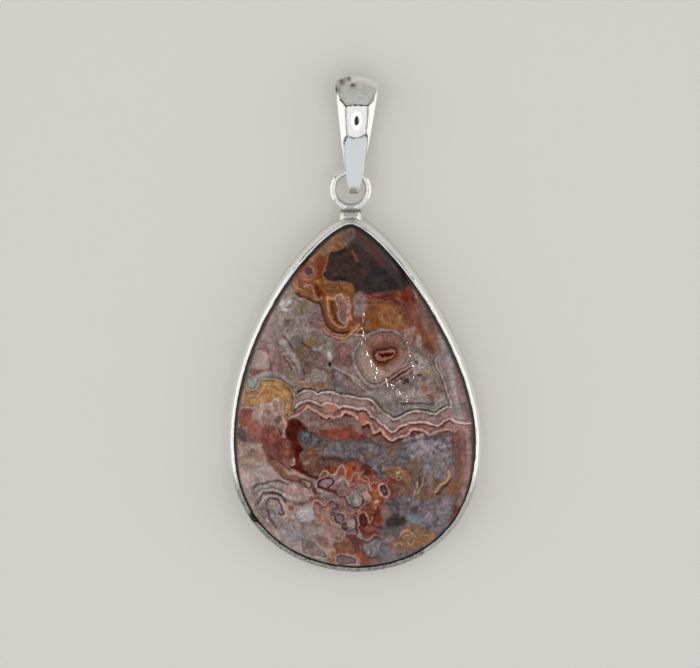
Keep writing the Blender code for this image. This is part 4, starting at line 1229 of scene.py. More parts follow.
def paintLowerRight():
    zone = [(480, 620), (600, 560), (780, 560), (1000, 560), (1300, 560), (1400, 640), (1300, 850),
        (1180, 1000), (900, 1200), (600, 1340), (420, 1340), (440, 1100), (460, 900), (500, 780)]
    takeSheet("lowerRight")
    fill(zone, "#6a5f61", 60, 30)
    mottle(zone, "#807780", 60, 0.5, 0.25, 0.8, seed=141)
    mottle(zone, "#4f4442", 60, 0.58, 0.22, 0.8, seed=143)
    lace([(950, 620), (1300, 580), (1280, 820), (1060, 900), (900, 800)], [(0.42, "#7d7178"),
        (0.5, "#645658"), (0.57, "#948b91"), (0.64, "#705f66")], 90, 0.8, 50, 0.1, seed=144)
    fill([(760, 790), (860, 760), (920, 810), (880, 860), (780, 860)], "#727880", 60, 20)
    disc((885, 645), (40, 30), 0, "#856f7c", 34, 10)
    disc((1200, 650), (54, 40), -20, "#8b7585", 44, 14)
    fill([(500, 840), (620, 800), (730, 830), (720, 910), (600, 930), (480, 910)], "#43362f", 50, 16)
    fill([(420, 920), (560, 920), (700, 930), (660, 1020), (520, 1040), (430, 1000)], "#5a5152", 50, 16)
    fill([(440, 720), (520, 680), (560, 760), (500, 820), (450, 800)], "#7a6c62", 40, 14)
    brown = [(540, 1120), (660, 1040), (690, 960), (800, 920), (900, 940), (1060, 980), (1100, 1060),
        (1000, 1130), (850, 1170), (700, 1220), (560, 1210)]
    fill(brown, "#7c5848", 50, 20)
    lace(brown, [(0.42, "#8d6344"), (0.5, "#6d4933"), (0.57, "#a88058"), (0.63, "#83573a")], 96, 0.8, 40,
        0.09, seed=145)
    for arc, width in (
            ([(670, 1020), (730, 970), (790, 985), (830, 1050)], 20),
            ([(700, 1060), (760, 1020), (800, 1050)], 14),
            ([(760, 1120), (800, 1135), (830, 1090)], 18),
            ([(600, 1150), (640, 1120), (680, 1140)], 16),
            ([(960, 1030), (1010, 1025)], 14)):
        stroke(arc, width, "#b48f6b", 14, 5)
    edge = [(1290, -200), (1700, -200), (1700, 400), (1560, 760), (1400, 900), (1240, 900), (1330, 640),
        (1300, 420), (1320, 200)]
    fill(edge, "#6d4337", 60, 20)
    stroke([(1395, -240), (1430, 100), (1420, 300), (1380, 500)], 44, "#7f544b", 34, 10, 60)
    stroke([(1470, -240), (1490, 100), (1470, 330), (1430, 520), (1370, 660)], 60, "#96706a", 30, 10, 60)
    stroke([(1525, -50), (1530, 150), (1505, 350), (1460, 520)], 14, "#744c48", 14, 4)
    fill([(1250, 400), (1330, 360), (1390, 400), (1380, 500), (1300, 560), (1230, 520)], "#77482b", 40, 14)
    squiggles = [(760, 170), (900, 140), (1000, 300), (1160, 380), (1240, 400), (1200, 540), (1060, 600),
        (860, 580), (800, 440)]
    fill(squiggles, "#725b4f", 60, 30)
    lace(squiggles, [(0.4, "#7f6f6c"), (0.48, "#57413a"), (0.54, "#8d7668"), (0.61, "#694a38")], 64, 0.8,
        40, 0.09, seed=147, stretch=(0.7, 1.5, 25))
    mottle([(940, 100), (1220, 60), (1200, 400), (1020, 440)], "#8c8083", 60, 0.48, 0.3, 0.8, 50, seed=148)
    tan = [(490, 240), (560, 190), (680, 210), (760, 280), (790, 380), (760, 410), (690, 360), (600, 350),
        (540, 330)]
    fill(tan, "#85604a", 30, 10)
    lace(tan, [(0.44, "#a07c60"), (0.5, "#6f4530"), (0.57, "#b08f75"), (0.62, "#7d5238")], 60, 0.85, 24,
        0.09, seed=149)
    disc((640, 345), (24, 22), 0, [(-10, "#ad8a70"), (2, "#432821")], 11, 3)
    disc((700, 335), (18, 16), 0, [(-8, "#ad8a70"), (2, "#6f3c28")], 11, 3)
    disc((652, 272), (16, 14), 0, "#c3b3a4", 12, 4)
    for line, width, colour in (
            ([(1270, 340), (1240, 400), (1180, 450), (1110, 530)], 20, "#4a2f20"),
            ([(1248, 260), (1252, 310), (1222, 370), (1160, 410), (1122, 450), (1090, 505)], 26, "#b9957a"),
            ([(1245, 90), (1215, 160), (1180, 250)], 14, "#9f8a7c"),
            ([(900, 340), (885, 400), (905, 450)], 22, "#40302a"),
            ([(880, 500), (920, 450)], 16, "#4a3830"),
            ([(862, 380), (880, 430), (850, 480), (835, 540)], 16, "#b29a88"),
            ([(945, 330), (935, 410), (905, 470), (870, 530)], 17, "#b09883"),
            ([(1070, 500), (1080, 540), (1110, 560)], 14, "#9a6650")):
        stroke(line, width, colour, 13, 6, 40)


# Sterling silver: rolled sheet and wire, soldered, then buffed by hand. It mirrors what is round it,
# hair-fine scratches spread its highlights, and brown-grey sulphide stays where the cloth doesn't reach.
silver = {
    "bright": "#fbfaf7",
    "dull": "#a6a29b",
    "sulphide": "#2b2620",
    "scratchLength": 0.6,
    "scratchWidth": 0.05,
    "blotch": 0.45,
    "pit": 0.12,
    "speck": 0.192,
    "dent": 0.9,
    "pitDepth": 0.04,
    "blotchGain": 0.55,          # how strongly the blotches' noise adds to the tarnish, and its middle
    "blotchMiddle": -0.27,
    "speckGain": 0.9,
    "dulledStops": [(0.08, 0.0), (0.5, 0.75), (0.9, 1.0)],
    "blackFrom": 1.0,
    "blackTo": 1.32,
    "blackest": 0.95,
    "scratchTurns": (0.5, 2.1),
    "scratchLean": (0.3, 0.2),
    "dulledRoughness": 0.3,
}


def sterlingSilver(name, roughness, scratchDepth, dentDepth):
    material = bpy.data.materials.new(name)
    material.use_nodes = True
    tree = material.node_tree
    shader = tree.nodes["Principled BSDF"]
    shader.inputs["Metallic"].default_value = 1.0
    place = addNode(tree, "ShaderNodeTexCoord").outputs["Object"]
    tarnish = addNode(tree, "ShaderNodeAttribute", {"attribute_name": "tarnish"}).outputs["Fac"]

    noises = {}
    for kind, size, detail, ownRoughness in (
            ("blotches", silver["blotch"], 6.0, 0.65), ("specks", silver["speck"], 3.0, 0.5),
            ("dents", silver["dent"], 2.0, 0.5), ("pits", silver["pit"], 4.0, 0.5)):
        noises[kind] = addNode(tree, "ShaderNodeTexNoise", {
            "Scale": 1 / (size * mm), "Detail": detail, "Roughness": ownRoughness,
        }, {"Vector": place}).outputs["Fac"]

    # Sulphide blotches: the tarnish attribute raises the level at which the noise shows
    level = addNode(tree, "ShaderNodeMath", {
        "operation": "MULTIPLY_ADD", 1: silver["blotchGain"], 2: silver["blotchMiddle"],
    }, {0: noises["blotches"]})
    summed = addNode(tree, "ShaderNodeMath", {"operation": "ADD"}, {0: tarnish, 1: level.outputs[0]})
    dulled = addNode(tree, "ShaderNodeValToRGB", {"stops": silver["dulledStops"]},
                     {"Fac": summed.outputs[0]}).outputs["Color"]
    speckled = addNode(tree, "ShaderNodeMath", {"operation": "MULTIPLY_ADD", 1: silver["speckGain"]},
                       {0: noises["specks"], 2: summed.outputs[0]})
    black = addNode(tree, "ShaderNodeMapRange", {
        "From Min": silver["blackFrom"], "From Max": silver["blackTo"], "To Max": silver["blackest"],
    }, {"Value": speckled.outputs[0]}).outputs["Result"]
    duller = addNode(tree, "ShaderNodeMix", {"data_type": "RGBA"}, {"Factor": dulled})
    duller.inputs["A"].default_value = linear(silver["bright"])
    duller.inputs["B"].default_value = linear(silver["dull"])
    darker = addNode(tree, "ShaderNodeMix", {"data_type": "RGBA"},
                     {"Factor": black, "A": duller.outputs["Result"]})
    darker.inputs["B"].default_value = linear(silver["sulphide"])
    tree.links.new(darker.outputs["Result"], shader.inputs["Base Color"])

    # Scratches run many ways: two noises, each drawn out along its own direction
    heights = []
    width, length = silver["scratchWidth"] * mm, silver["scratchLength"] * mm
    for turn in silver["scratchTurns"]:
        drawnOut = addNode(tree, "ShaderNodeMapping", {
            "Rotation": (*silver["scratchLean"], turn), "Scale": (1 / width, 1 / length, 1 / width),
        }, {"Vector": place})
        scratches = addNode(tree, "ShaderNodeTexNoise", {"Scale": 1.0, "Detail": 2.0},
                            {"Vector": drawnOut.outputs["Vector"]})
        heights.append(scratches.outputs["Fac"])
    scratched = addNode(tree, "ShaderNodeMath", {"operation": "ADD"}, {0: heights[0], 1: heights[1]})
    pitted = addNode(tree, "ShaderNodeMath", {"operation": "MULTIPLY"}, {0: noises["pits"], 1: dulled})
    normal = {}
    for depth, height in ((dentDepth, noises["dents"]), (silver["pitDepth"], pitted.outputs[0]),
                          (scratchDepth, scratched.outputs[0])):
        relief = addNode(tree, "ShaderNodeBump", {"Distance": depth * mm}, {"Height": height, **normal})
        normal = {"Normal": relief.outputs["Normal"]}
    tree.links.new(normal["Normal"], shader.inputs["Normal"])
    rough = addNode(tree, "ShaderNodeMath", {
        "operation": "MULTIPLY_ADD", 1: silver["dulledRoughness"], 2: roughness,
    }, {0: dulled})
    tree.links.new(rough.outputs[0], shader.inputs["Roughness"])
    return material


def setAttribute(piece, name, values):
    layer = piece.data.attributes.new(name, "FLOAT", "POINT")
    layer.data.foreach_set("value", np.asarray(values, dtype=np.float32))


def vertexPlaces(piece):
    # The x, y and z of every vertex, in millimetres
    places = np.empty(len(piece.data.vertices) * 3, dtype=np.float32)
    piece.data.vertices.foreach_get("co", places)
    return places.reshape(-1, 3).T.astype(float) / mm


def bump(distance, reach):
    # 1 at distance 0, falling smoothly to 0 at the reach
    part = np.clip(1.0 - np.abs(distance) / reach, 0.0, 1.0)
    return part * part * (3.0 - 2.0 * part)


def tarnishPiece(piece, base, spots=(), bands=()):
    # Spots are (x, y, reach, amount), and bands across the piece are (y, reach, amount)
    x, y, _ = vertexPlaces(piece)
    tarnish = np.zeros(len(x)) + base
    for spotX, spotY, reach, amount in spots:
        tarnish += amount * bump(np.hypot(x - spotX, y - spotY), reach)
    for bandY, reach, amount in bands:
        tarnish += amount * bump(y - bandY, reach)
    setAttribute(piece, "tarnish", tarnish)


def makeBackPlate(plan, material):
    chamfer = setting["plateChamfer"]
    thickness = setting["plateThickness"]
    rings = [atHeight(insetLoop(plan, inset), height) for inset, height in (
        (chamfer, 0.0), (chamfer * 0.3, chamfer * 0.3), (0.0, chamfer),
        (0.0, thickness - chamfer * 0.4), (chamfer * 0.12, thickness - chamfer * 0.12),
        (chamfer * 0.4, thickness))]
    shape, bottom, top = loft(rings)
    bmesh.ops.edgeloop_fill(shape, edges=bottom)
    bmesh.ops.edgeloop_fill(shape, edges=top)
    piece = finishPiece("back_plate_of_sheet", shape, material, "setting", "back_plate")
    piece.data.set_sharp_from_angle(angle=math.radians(35))
    tarnishPiece(piece, setting["plateTarnish"])


def domeHeight(inset):
    # Height of the dome's surface at a distance in from the girdle: part of an ellipse
    span = setting["halfWidth"] - setting["wallThickness"] - setting["gap"]
    level = 1.0 - np.clip(inset, 0.0, span) / span
    return stone["girdleTop"] + (stone["domeTop"] - stone["girdleTop"]) * np.sqrt(1.0 - level * level)


bezel = {
    "footPoints": [(0.06, 0.0), (0.0, 0.05)],    # inset, and height over the back plate
    "wallHeights": (1.6, 2.5),
    "shoulderSteps": 14,
    "lipPoints": [(0.645, 4.49), (0.68, 4.462), (0.69, 4.42), (0.655, 4.37), (0.56, 4.25)],
    "lipWander": 0.035,       # how far the burnished edge wanders in and out
    "middle": Vector((0.0, -10.0, 0.0)),    # what it wanders towards
    "wanderUp": 0.3,          # how far it rises for each millimetre in
    "wander": (1.1, 3.7, 0.4),    # bumps per millimetre of its two noises, and the share of the second
    "wornBelow": -15.8,       # below this y the rim is worn, dull and pitted
    "wornOver": 3.5,
    "worn": (0.6, 0.42),      # left of wornSide and right of it
    "wornSide": 8.0,
    "leastTarnish": 0.03,
    "footTarnish": (0.25, 0.5),
    "spots": [(1.0, 11.0, 1.0, 0.4), (3.8, 8.3, 1.3, 0.4), (1.9, 10.0, 0.8, 0.4), (-0.45, 12.59, 2.2, 0.35),
              (-11.45, -22.0, 0.9, 1.2), (13.5, -22.3, 0.9, 1.2)],
}


def makeBezel(plan, material):
    wall = setting["wallThickness"]
    bottom = setting["plateThickness"]
    section = [(wall, bottom)] + [(inset, bottom + up) for inset, up in bezel["footPoints"]]
    section += [(0.0, height) for height in bezel["wallHeights"]]
    rise = setting["lipTop"] - setting["shoulderHeight"]
    for step in range(bezel["shoulderSteps"] + 1):
        turn = math.pi / 2 * step / bezel["shoulderSteps"]
        section.append(((setting["lipInset"] - wall / 4) * (1.0 - math.cos(turn)),
                        setting["shoulderHeight"] + rise * math.sin(turn)))
    section += bezel["lipPoints"]
    section.append((wall, stone["girdleTop"]))
    rings = [atHeight(insetLoop(plan, inset), height) for inset, height in section]
    shape, _, _ = loft(rings, joinEnds=True)
    coarse, fine, share = bezel["wander"]
    for vert in shape.verts:
        height = vert.co.z - setting["shoulderHeight"]
        if height > 0:
            wander = noiseAt(vert.co * coarse) + share * noiseAt(vert.co * fine)
            wander *= bezel["lipWander"] * height / rise
            vert.co += (bezel["middle"] - vert.co).to_2d().normalized().to_3d() * wander
            vert.co.z += bezel["wanderUp"] * wander
    piece = finishPiece("bezel_burnished", shape, material, "setting", "bezel")
    x, y, z = vertexPlaces(piece)
    worn = np.clip((bezel["wornBelow"] - y) / bezel["wornOver"], 0.0, 1.0)
    amount, reach = bezel["footTarnish"]
    base = bezel["leastTarnish"] + worn * np.where(x < bezel["wornSide"], *bezel["worn"])
    base += amount * bump(z - setting["plateThickness"], reach)
    tarnishPiece(piece, base, bezel["spots"])


def noiseAt(place):
    # Smooth noise from about -1 to 1
    return 1.6 * noise.noise(place)


hangingRing = {
    "centre": Vector((-0.5, 15.69, 2.7)),
    "radius": 2.03,
    "wireRadius": 0.4,
    "wireSegments": 28,
    "turnSegments": 96,
    "neckRows": [(12.02, 1.42, 0.86), (12.7, 1.32, 0.76), (13.2, 1.2, 0.6), (13.55, 1.06, 0.47),
                 (13.84, 0.92, 0.4)],    # y, half width, half height
    "neckSegments": 40,
    "neckZone": 1.2,             # the solder reaches up to this far under the ring's centre
    "voxel": 0.05,
    "smoothings": 4,
    "neckSmoothings": 10,
    "bands": [(13.3, 0.5, 0.6), (12.6, 1.2, 0.22)],
    "leastTarnish": 0.04,
    "innerTarnish": (0.35, 0.4, 0.45),    # amount, how far in from the wire's middle, and reach
}


def remeshed(shape, voxel):
    # Joins overlapping closed shapes into one skin, as solder does, and rounds the corner between them.
    rough = bpy.data.meshes.new("rough")
    shape.to_mesh(rough)
    shape.free()
    item = bpy.data.objects.new("rough", rough)
    bpy.context.scene.collection.objects.link(item)
    modifier = item.modifiers.new("one skin", "REMESH")
    modifier.mode = "VOXEL"
    modifier.voxel_size = voxel
    skin = bpy.data.meshes.new_from_object(item.evaluated_get(bpy.context.evaluated_depsgraph_get()))
    bpy.data.objects.remove(item)
    joined = bmesh.new()
    joined.from_mesh(skin)
    return joined


def smooth(shape, verts, times):
    for _ in range(times):
        bmesh.ops.smooth_vert(
            shape, verts=verts, factor=0.5, use_axis_x=True, use_axis_y=True, use_axis_z=True)


def makeHangingRing(material):
    centre = hangingRing["centre"]
    shape = bmesh.new()
    bmesh.ops.create_circle(
        shape, segments=hangingRing["wireSegments"], radius=hangingRing["wireRadius"], cap_ends=False)
    upright = Matrix.Rotation(math.pi / 2, 3, "X")
    bmesh.ops.rotate(shape, verts=shape.verts, cent=(0.0, 0.0, 0.0), matrix=upright)
    bmesh.ops.translate(shape, verts=shape.verts, vec=centre + Vector((hangingRing["radius"], 0.0, 0.0)))
    bmesh.ops.spin(shape, geom=shape.verts[:] + shape.edges[:], cent=centre, axis=(0.0, 0.0, 1.0),
                   angle=math.tau, steps=hangingRing["turnSegments"], use_merge=True, use_duplicate=False)
    bmesh.ops.recalc_face_normals(shape, faces=shape.faces)
    segments = hangingRing["neckSegments"]
    turns = [math.tau * index / segments for index in range(segments)]
    rows = [[Vector((centre.x + halfWidth * math.cos(turn), y, centre.z + halfHeight * math.sin(turn)))
             for turn in turns] for y, halfWidth, halfHeight in hangingRing["neckRows"]]
    neck, lower, upper = loft(rows)
    bmesh.ops.edgeloop_fill(neck, edges=lower)
    bmesh.ops.edgeloop_fill(neck, edges=upper)
    bmesh.ops.recalc_face_normals(neck, faces=neck.faces)
    neckMesh = bpy.data.meshes.new("neck")
    neck.to_mesh(neckMesh)
    neck.free()
    shape.from_mesh(neckMesh)
    joined = remeshed(shape, hangingRing["voxel"])
    smooth(joined, joined.verts, hangingRing["smoothings"])
    nearNeck = [vert for vert in joined.verts if vert.co.y < centre.y - hangingRing["neckZone"]]
    smooth(joined, nearNeck, hangingRing["neckSmoothings"])
    piece = finishPiece("hanging_ring_soldered", joined, material, "setting", "hanging_ring")
    x, y, _ = vertexPlaces(piece)
    away = np.hypot(x - centre.x, y - centre.y)
    amount, inwards, reach = hangingRing["innerTarnish"]
    base = hangingRing["leastTarnish"] + amount * bump(away - hangingRing["radius"] + inwards, reach)
    tarnishPiece(piece, base, bands=hangingRing["bands"])


# Lengths along the bail are measured from the axis that it swings on.
bail = {
    "swingAxis": Vector((-0.05, 17.32, 2.7)),
    "foot": -2.15,
    "top": 11.35,
    "widest": 6.4,
    "halfDepth": 3.1,
    "footReach": 1.35,
    "topReach": 1.75,
    "flankReach": 2.6,
    "thickness": 0.5,
    "edgeThickness": 0.3,
    "footHalfWidth": 0.45,
    "topHalfWidth": 2.55,
    "taperPower": 0.8,
    "domeRadius": 4.5,
    "raised": math.radians(3.8),
    "lean": math.radians(-1.8),
    "pointsPerCurve": 56,
    "edgeRound": 0.07,
    "mostRound": 0.2,            # as a part of the half width
    "innerPart": 0.96,           # the inner face's width as a part of the outer face's
    "outerPoints": 17,
    "innerPoints": 11,
    "edgeRows": [(1.0, 0.09), (0.995, 0.2)],    # part of the half width, and how far in from the face
    "leastTarnish": 0.02,
    "spots": [(-0.7, 28.4, 0.5, 0.7), (-2.2, 27.2, 0.9, 0.7), (-1.5, 28.1, 0.7, 0.7),
              (-0.2, 27.7, 0.5, 0.7)],
    "bands": [(27.6, 2.6, 0.15), (15.2, 1.6, 0.35)],
}


def bailHalfWidth(length):
    part = min(max((length - bail["foot"]) / (bail["top"] - bail["foot"]), 0.0), 1.0)
    widening = bail["topHalfWidth"] - bail["footHalfWidth"]
    return bail["footHalfWidth"] + widening * part ** bail["taperPower"]


def bailSection(halfWidth):
    # Across the strap: how far out sideways, and how far outwards from the loop. Its edges are filed round.
    dome = halfWidth ** 2 / (2 * bail["domeRadius"])
    hollow = dome - (bail["thickness"] - bail["edgeThickness"])
    soft = min(bail["edgeRound"] / halfWidth, bail["mostRound"])
    outerReach = 1.0 - soft
    innerReach = bail["innerPart"] - soft
    outer = [(part * halfWidth, bail["thickness"] / 2 - dome * part * part)
             for part in np.linspace(-outerReach, outerReach, bail["outerPoints"])]
    inner = [(part * halfWidth, -bail["thickness"] / 2 - hollow * part * part)
             for part in np.linspace(innerReach, -innerReach, bail["innerPoints"])]
    rightEdge = bail["thickness"] / 2 - dome
    edge = [(halfWidth * part, rightEdge - drop) for part, drop in bail["edgeRows"]]
    return outer + edge + inner + [(-side, out) for side, out in reversed(edge)]


def makeBail(material):
    halfDepth = bail["halfDepth"] - bail["thickness"] / 2
    foot = Vector((bail["foot"] + bail["thickness"] / 2, 0.0))
    top = Vector((bail["top"] - bail["thickness"] / 2, 0.0))
    up = Vector((bail["flankReach"], 0.0))
    footOut = Vector((0.0, bail["footReach"]))
    topOut = Vector((0.0, bail["topReach"]))
    anchors = [
        (foot, footOut, -footOut),
        (Vector((bail["widest"], -halfDepth)), -up, up),
        (top, -topOut, topOut),
        (Vector((bail["widest"], halfDepth)), up, -up),
    ]
    loop = curveLoop(anchors, bail["pointsPerCurve"])
    rings = []
    for index, point in enumerate(loop):
        along = (loop[(index + 1) % len(loop)] - loop[index - 1]).normalized()
        outwards = Vector((along.y, -along.x))
        rings.append([Vector((sideways, *(point + outwards * out)))
                      for sideways, out in bailSection(bailHalfWidth(point.x))])
    shape, _, _ = loft(rings, joinEnds=True)
    swung = Matrix.Rotation(bail["lean"], 4, "Z") @ Matrix.Rotation(bail["raised"], 4, "X")
    bmesh.ops.transform(shape, matrix=Matrix.Translation(bail["swingAxis"]) @ swung, verts=shape.verts)
    piece = finishPiece("bail_strap", shape, material, "bail", "bail")
    tarnishPiece(piece, bail["leastTarnish"], bail["spots"], bail["bands"])


buffedSilver = sterlingSilver("buffed sterling silver", roughness=0.09, scratchDepth=0.004, dentDepth=0.02)
mirrorSilver = sterlingSilver(
    "mirror polished sterling silver", roughness=0.035, scratchDepth=0.0015, dentDepth=0.006)
brushedSilver = sterlingSilver(
    "brushed sterling silver sheet", roughness=0.3, scratchDepth=0.012, dentDepth=0.02)
plan = bezelPlan()
makeBackPlate(plan, brushedSilver)
makeBezel(plan, buffedSilver)
makeHangingRing(mirrorSilver)
makeBail(mirrorSilver)
print("silver made")


def stoneHeights(x, y, girdle):
    # Close to the girdle the height follows the distance in from it. Further in, the contours turn
    # from the teardrop to an oval, each along the arm from the dome's centre.
    inset = -loopDistance(x, y, girdle)
    span = setting["halfWidth"] - setting["wallThickness"] - setting["gap"]
    centreX, centreY = stone["domeCentre"]
    edge = insetLoop([Vector(point) for point in girdle], stone["edgeZone"])
    edgeX = np.array([point.x - centreX for point in edge])
    edgeY = np.array([point.y - centreY for point in edge])
    edgeTurn = np.unwrap(np.arctan2(edgeY, edgeX))
    order = np.argsort(edgeTurn % math.tau)
    turn = np.arctan2(y - centreY, x - centreX) % math.tau
    arm = np.interp(turn, (edgeTurn % math.tau)[order], np.hypot(edgeX, edgeY)[order], period=math.tau)
    ovalScale = arm * np.hypot(np.cos(turn) / stone["domeOval"][0], np.sin(turn) / stone["domeOval"][1])
    away = np.hypot(x - centreX, y - centreY)
    low, high = np.zeros(x.shape), np.ones(x.shape)
    for _ in range(24):
        part = (low + high) / 2
        reach = arm * (part / ovalScale * (1 - part * part) + part ** (span / arm) * part * part)
        low = np.where(reach < away, part, low)
        high = np.where(reach < away, high, part)
    edgeLevel = 1.0 - stone["edgeZone"] / span
    level = (low + high) / 2 * edgeLevel
    return np.where(inset < stone["edgeZone"], domeHeight(inset), domeHeight(span * (1.0 - level))), inset


def makeStone(plan, material):
    girdleLoop = insetLoop(plan, setting["wallThickness"] + setting["gap"])
    girdle = [(point.x, point.y) for point in girdleLoop]
    step = stone["gridStep"]
    xs = [point[0] for point in girdle]
    ys = [point[1] for point in girdle]
    middle = ((min(xs) + max(xs)) / 2, (min(ys) + max(ys)) / 2)
    columns = math.ceil((max(xs) - min(xs)) / step)
    rows = math.ceil((max(ys) - min(ys)) / step)
    shape = bmesh.new()
    bmesh.ops.create_grid(shape, x_segments=columns, y_segments=rows, size=0.5)
    bmesh.ops.scale(shape, vec=(columns * step, rows * step, 1.0), verts=shape.verts)
    bmesh.ops.translate(shape, vec=(*middle, 0.0), verts=shape.verts)
    places = np.array([vert.co[:2] for vert in shape.verts])
    heights, inset = stoneHeights(places[:, 0], places[:, 1], girdle)
    for vert, height, depth in zip(shape.verts, heights, inset):
        vert.co.z = height
        vert.tag = bool(depth < stone["clearOfGirdle"] * step)
    outside = [vert for vert in shape.verts if vert.tag]
    bmesh.ops.delete(shape, geom=outside, context="VERTS")
    # The ragged rim of the grid, which the bezel covers, is drawn out to the girdle.
    rim = [edge for edge in shape.edges if edge.is_boundary]
    rimVerts = {vert for edge in rim for vert in edge.verts}
    corners = np.array(girdle)
    for vert in rimVerts:
        nearest = int(np.argmin(np.hypot(corners[:, 0] - vert.co.x, corners[:, 1] - vert.co.y)))
        vert.co.xy = onLoop(vert.co.to_2d(), girdleLoop, nearest)
        vert.co.z = stone["girdleTop"]
    baseHeight = setting["plateThickness"] + setting["gap"]
    for height, inwards in ((baseHeight + stone["baseChamfer"], 0.0), (baseHeight, stone["baseChamfer"])):
        grown = bmesh.ops.extrude_edge_only(shape, edges=rim)["geom"]
        newVerts = {item for item in grown if isinstance(item, bmesh.types.BMVert)}
        centre = Vector(stone["domeCentre"])
        for vert in newVerts:
            vert.co.z = height
            vert.co.xy -= (vert.co.to_2d() - centre).normalized() * inwards
        rim = [item for item in grown
               if isinstance(item, bmesh.types.BMEdge) and set(item.verts) <= newVerts]
    bmesh.ops.edgeloop_fill(shape, edges=rim)
    piece = finishPiece("agate_cabochon", shape, material, "setting", "cabochon")
    x, y, z = vertexPlaces(piece)
    across, down = photoPlace(x, y, z)
    colour = paintAgate(across, down)
    layer = piece.data.color_attributes.new("pattern", "FLOAT_COLOR", "POINT")
    layer.data.foreach_set("color", np.column_stack([colour, np.ones(len(x))]).astype(np.float32).ravel())
    # The distance in from the girdle, by which the painted shade along the bezel is laid on
    fade, first, over = stone["rimShadeFade"]
    inwards = -loopDistance(x, y, girdle)
    setAttribute(piece, "edge", inwards * (1.0 + fade * np.clip((first - y) / over, 0.0, 1.0)))


def onLoop(point, loop, index):
    # The place nearest to a point on the two sides of a loop that meet at one of its corners
    best = loop[index]
    for start, end in ((loop[index - 1], loop[index]), (loop[index], loop[(index + 1) % len(loop)])):
        side = end - start
        part = min(max((point - start).dot(side) / side.length_squared, 0.0), 1.0)
        if (point - start - side * part).length < (point - best).length:
            best = start + side * part
    return best


# Crazy lace agate, a banded chalcedony, cut en cabochon and polished to a gloss. Hard and hardly
# absorbing light: the colours look wet, and its fine grain shows only in the quartz.
def polishedAgate():
    material = bpy.data.materials.new("polished crazy lace agate")
    material.use_nodes = True
    tree = material.node_tree
    shader = tree.nodes["Principled BSDF"]
    shader.inputs["IOR"].default_value = agate["ior"]
    shader.inputs["Roughness"].default_value = agate["roughness"]
    shader.inputs["Specular IOR Level"].default_value = agate["specularLevel"]
    place = addNode(tree, "ShaderNodeTexCoord").outputs["Object"]
    pattern = addNode(tree, "ShaderNodeAttribute", {"attribute_name": "pattern"}).outputs["Color"]
    grain, rimShadeWander = [
        addNode(tree, "ShaderNodeTexNoise", {"Scale": 1 / (agate[size] * mm), "Detail": detail},
                {"Vector": place}).outputs["Fac"]
        for size, detail in (("grainSize", 3.0), ("rimShadeWanderSize", 2.0))]
    grained = addNode(tree, "ShaderNodeValToRGB", {"stops": agate["grainStops"]}, {"Fac": grain})
    mixed = addNode(tree, "ShaderNodeMix", {"data_type": "RGBA", "blend_type": "OVERLAY", "Factor": 1.0},
                    {"A": pattern, "B": grained.outputs["Color"]})
    # Painted shade along the bezel: the gap's shadow and the bezel's dark reflection in the steep rim
    edge = addNode(tree, "ShaderNodeAttribute", {"attribute_name": "edge"}).outputs["Fac"]
    wandering = addNode(tree, "ShaderNodeMath", {"operation": "MULTIPLY_ADD", 1: agate["rimShadeWanderGain"]},
                        {0: rimShadeWander, 2: edge})
    rimPaintedShade = addNode(tree, "ShaderNodeMapRange", {
        "From Min": agate["rimShadeFrom"], "From Max": agate["rimShadeTo"], "To Min": agate["rimShadeDepth"], "To Max": 0.0,
    }, {"Value": wandering.outputs["Value"]})
    rimShaded = addNode(tree, "ShaderNodeMix", {"data_type": "RGBA"},
                     {"A": mixed.outputs["Result"], "Factor": rimPaintedShade.outputs["Result"]})
    rimShaded.inputs["B"].default_value = linear(agate["rim"])
    tree.links.new(rimShaded.outputs["Result"], shader.inputs["Base Color"])
    return material


makeStone(plan, polishedAgate())
print("stone made")

# Studio: a square light tent. Its white ceiling has a hole for the lens, the side walls are the brightest,
# and the front and back walls are greyer. Dark seams run between them.
studio = {
    "floor": "#e8e4df",
    "floorSize": 900.0,
    "floorRoughness": 0.8,
    "floorBelow": 0.02,
    "sideWall": "#fdfdfb",
    "frontWall": "#ccd2d6",
    "backWall": "#b4b5b2",
    "seam": "#101214",
    "behindCeiling": "#2a2b2d",
    "tilt": 0.31,                # how far down the ceiling's middle is, as a slope from the camera's axis
    "wallStart": 0.64,           # slope where the walls begin, from the ceiling's middle
    "seamWidth": 0.08,           # same measure
    "leastAhead": 0.02,          # keeps directions behind the ceiling's plane from dividing by nothing
    "bailUp": 22.0,              # the bail, which the tent is squared up for, above the camera's axis
    "tentStrength": 1.05,
    "ceiling": (436.0, 330.0),
    "shortened": 1.35,           # the ceiling is this much shorter than wide
    "fill": (404.0, 430.0),
    "ceilingDistance": 386.0,
    "ceilingBrightness": 0.82,
    "glowRadius": 100.0,
    "glowBrightness": 0.5,
    "fillBrightness": 1.2,
    "glowAhead": 8.0,            # the glow hangs this far under the ceiling
    "lens": "#080808",
    "lensRadius": 50.0,
    "lensDistance": 366.0,
}


def makeFloor():
    shape = bmesh.new()
    bmesh.ops.create_grid(shape, x_segments=1, y_segments=1, size=studio["floorSize"] * mm / 2)
    mesh = bpy.data.meshes.new("floor")
    shape.to_mesh(mesh)
    shape.free()
    material = bpy.data.materials.new("matt pale paper")
    material.use_nodes = True
    shader = material.node_tree.nodes["Principled BSDF"]
    shader.inputs["Base Color"].default_value = linear(studio["floor"])
    shader.inputs["Roughness"].default_value = studio["floorRoughness"]
    mesh.materials.append(material)
    floor = bpy.data.objects.new("floor", mesh)
    floor.location.z = -studio["floorBelow"] * mm
    bpy.context.scene.collection.objects.link(floor)


def hungAt(distance):
    # Facing the pendant along the camera's axis
    right, up, backwards = cameraAxes()
    facing = Matrix((right, up, backwards)).transposed().to_4x4()
    middle = camera["target"] + distance * backwards - (distance * studio["tilt"] - studio["bailUp"]) * up
    return Matrix.Translation(middle * mm) @ facing


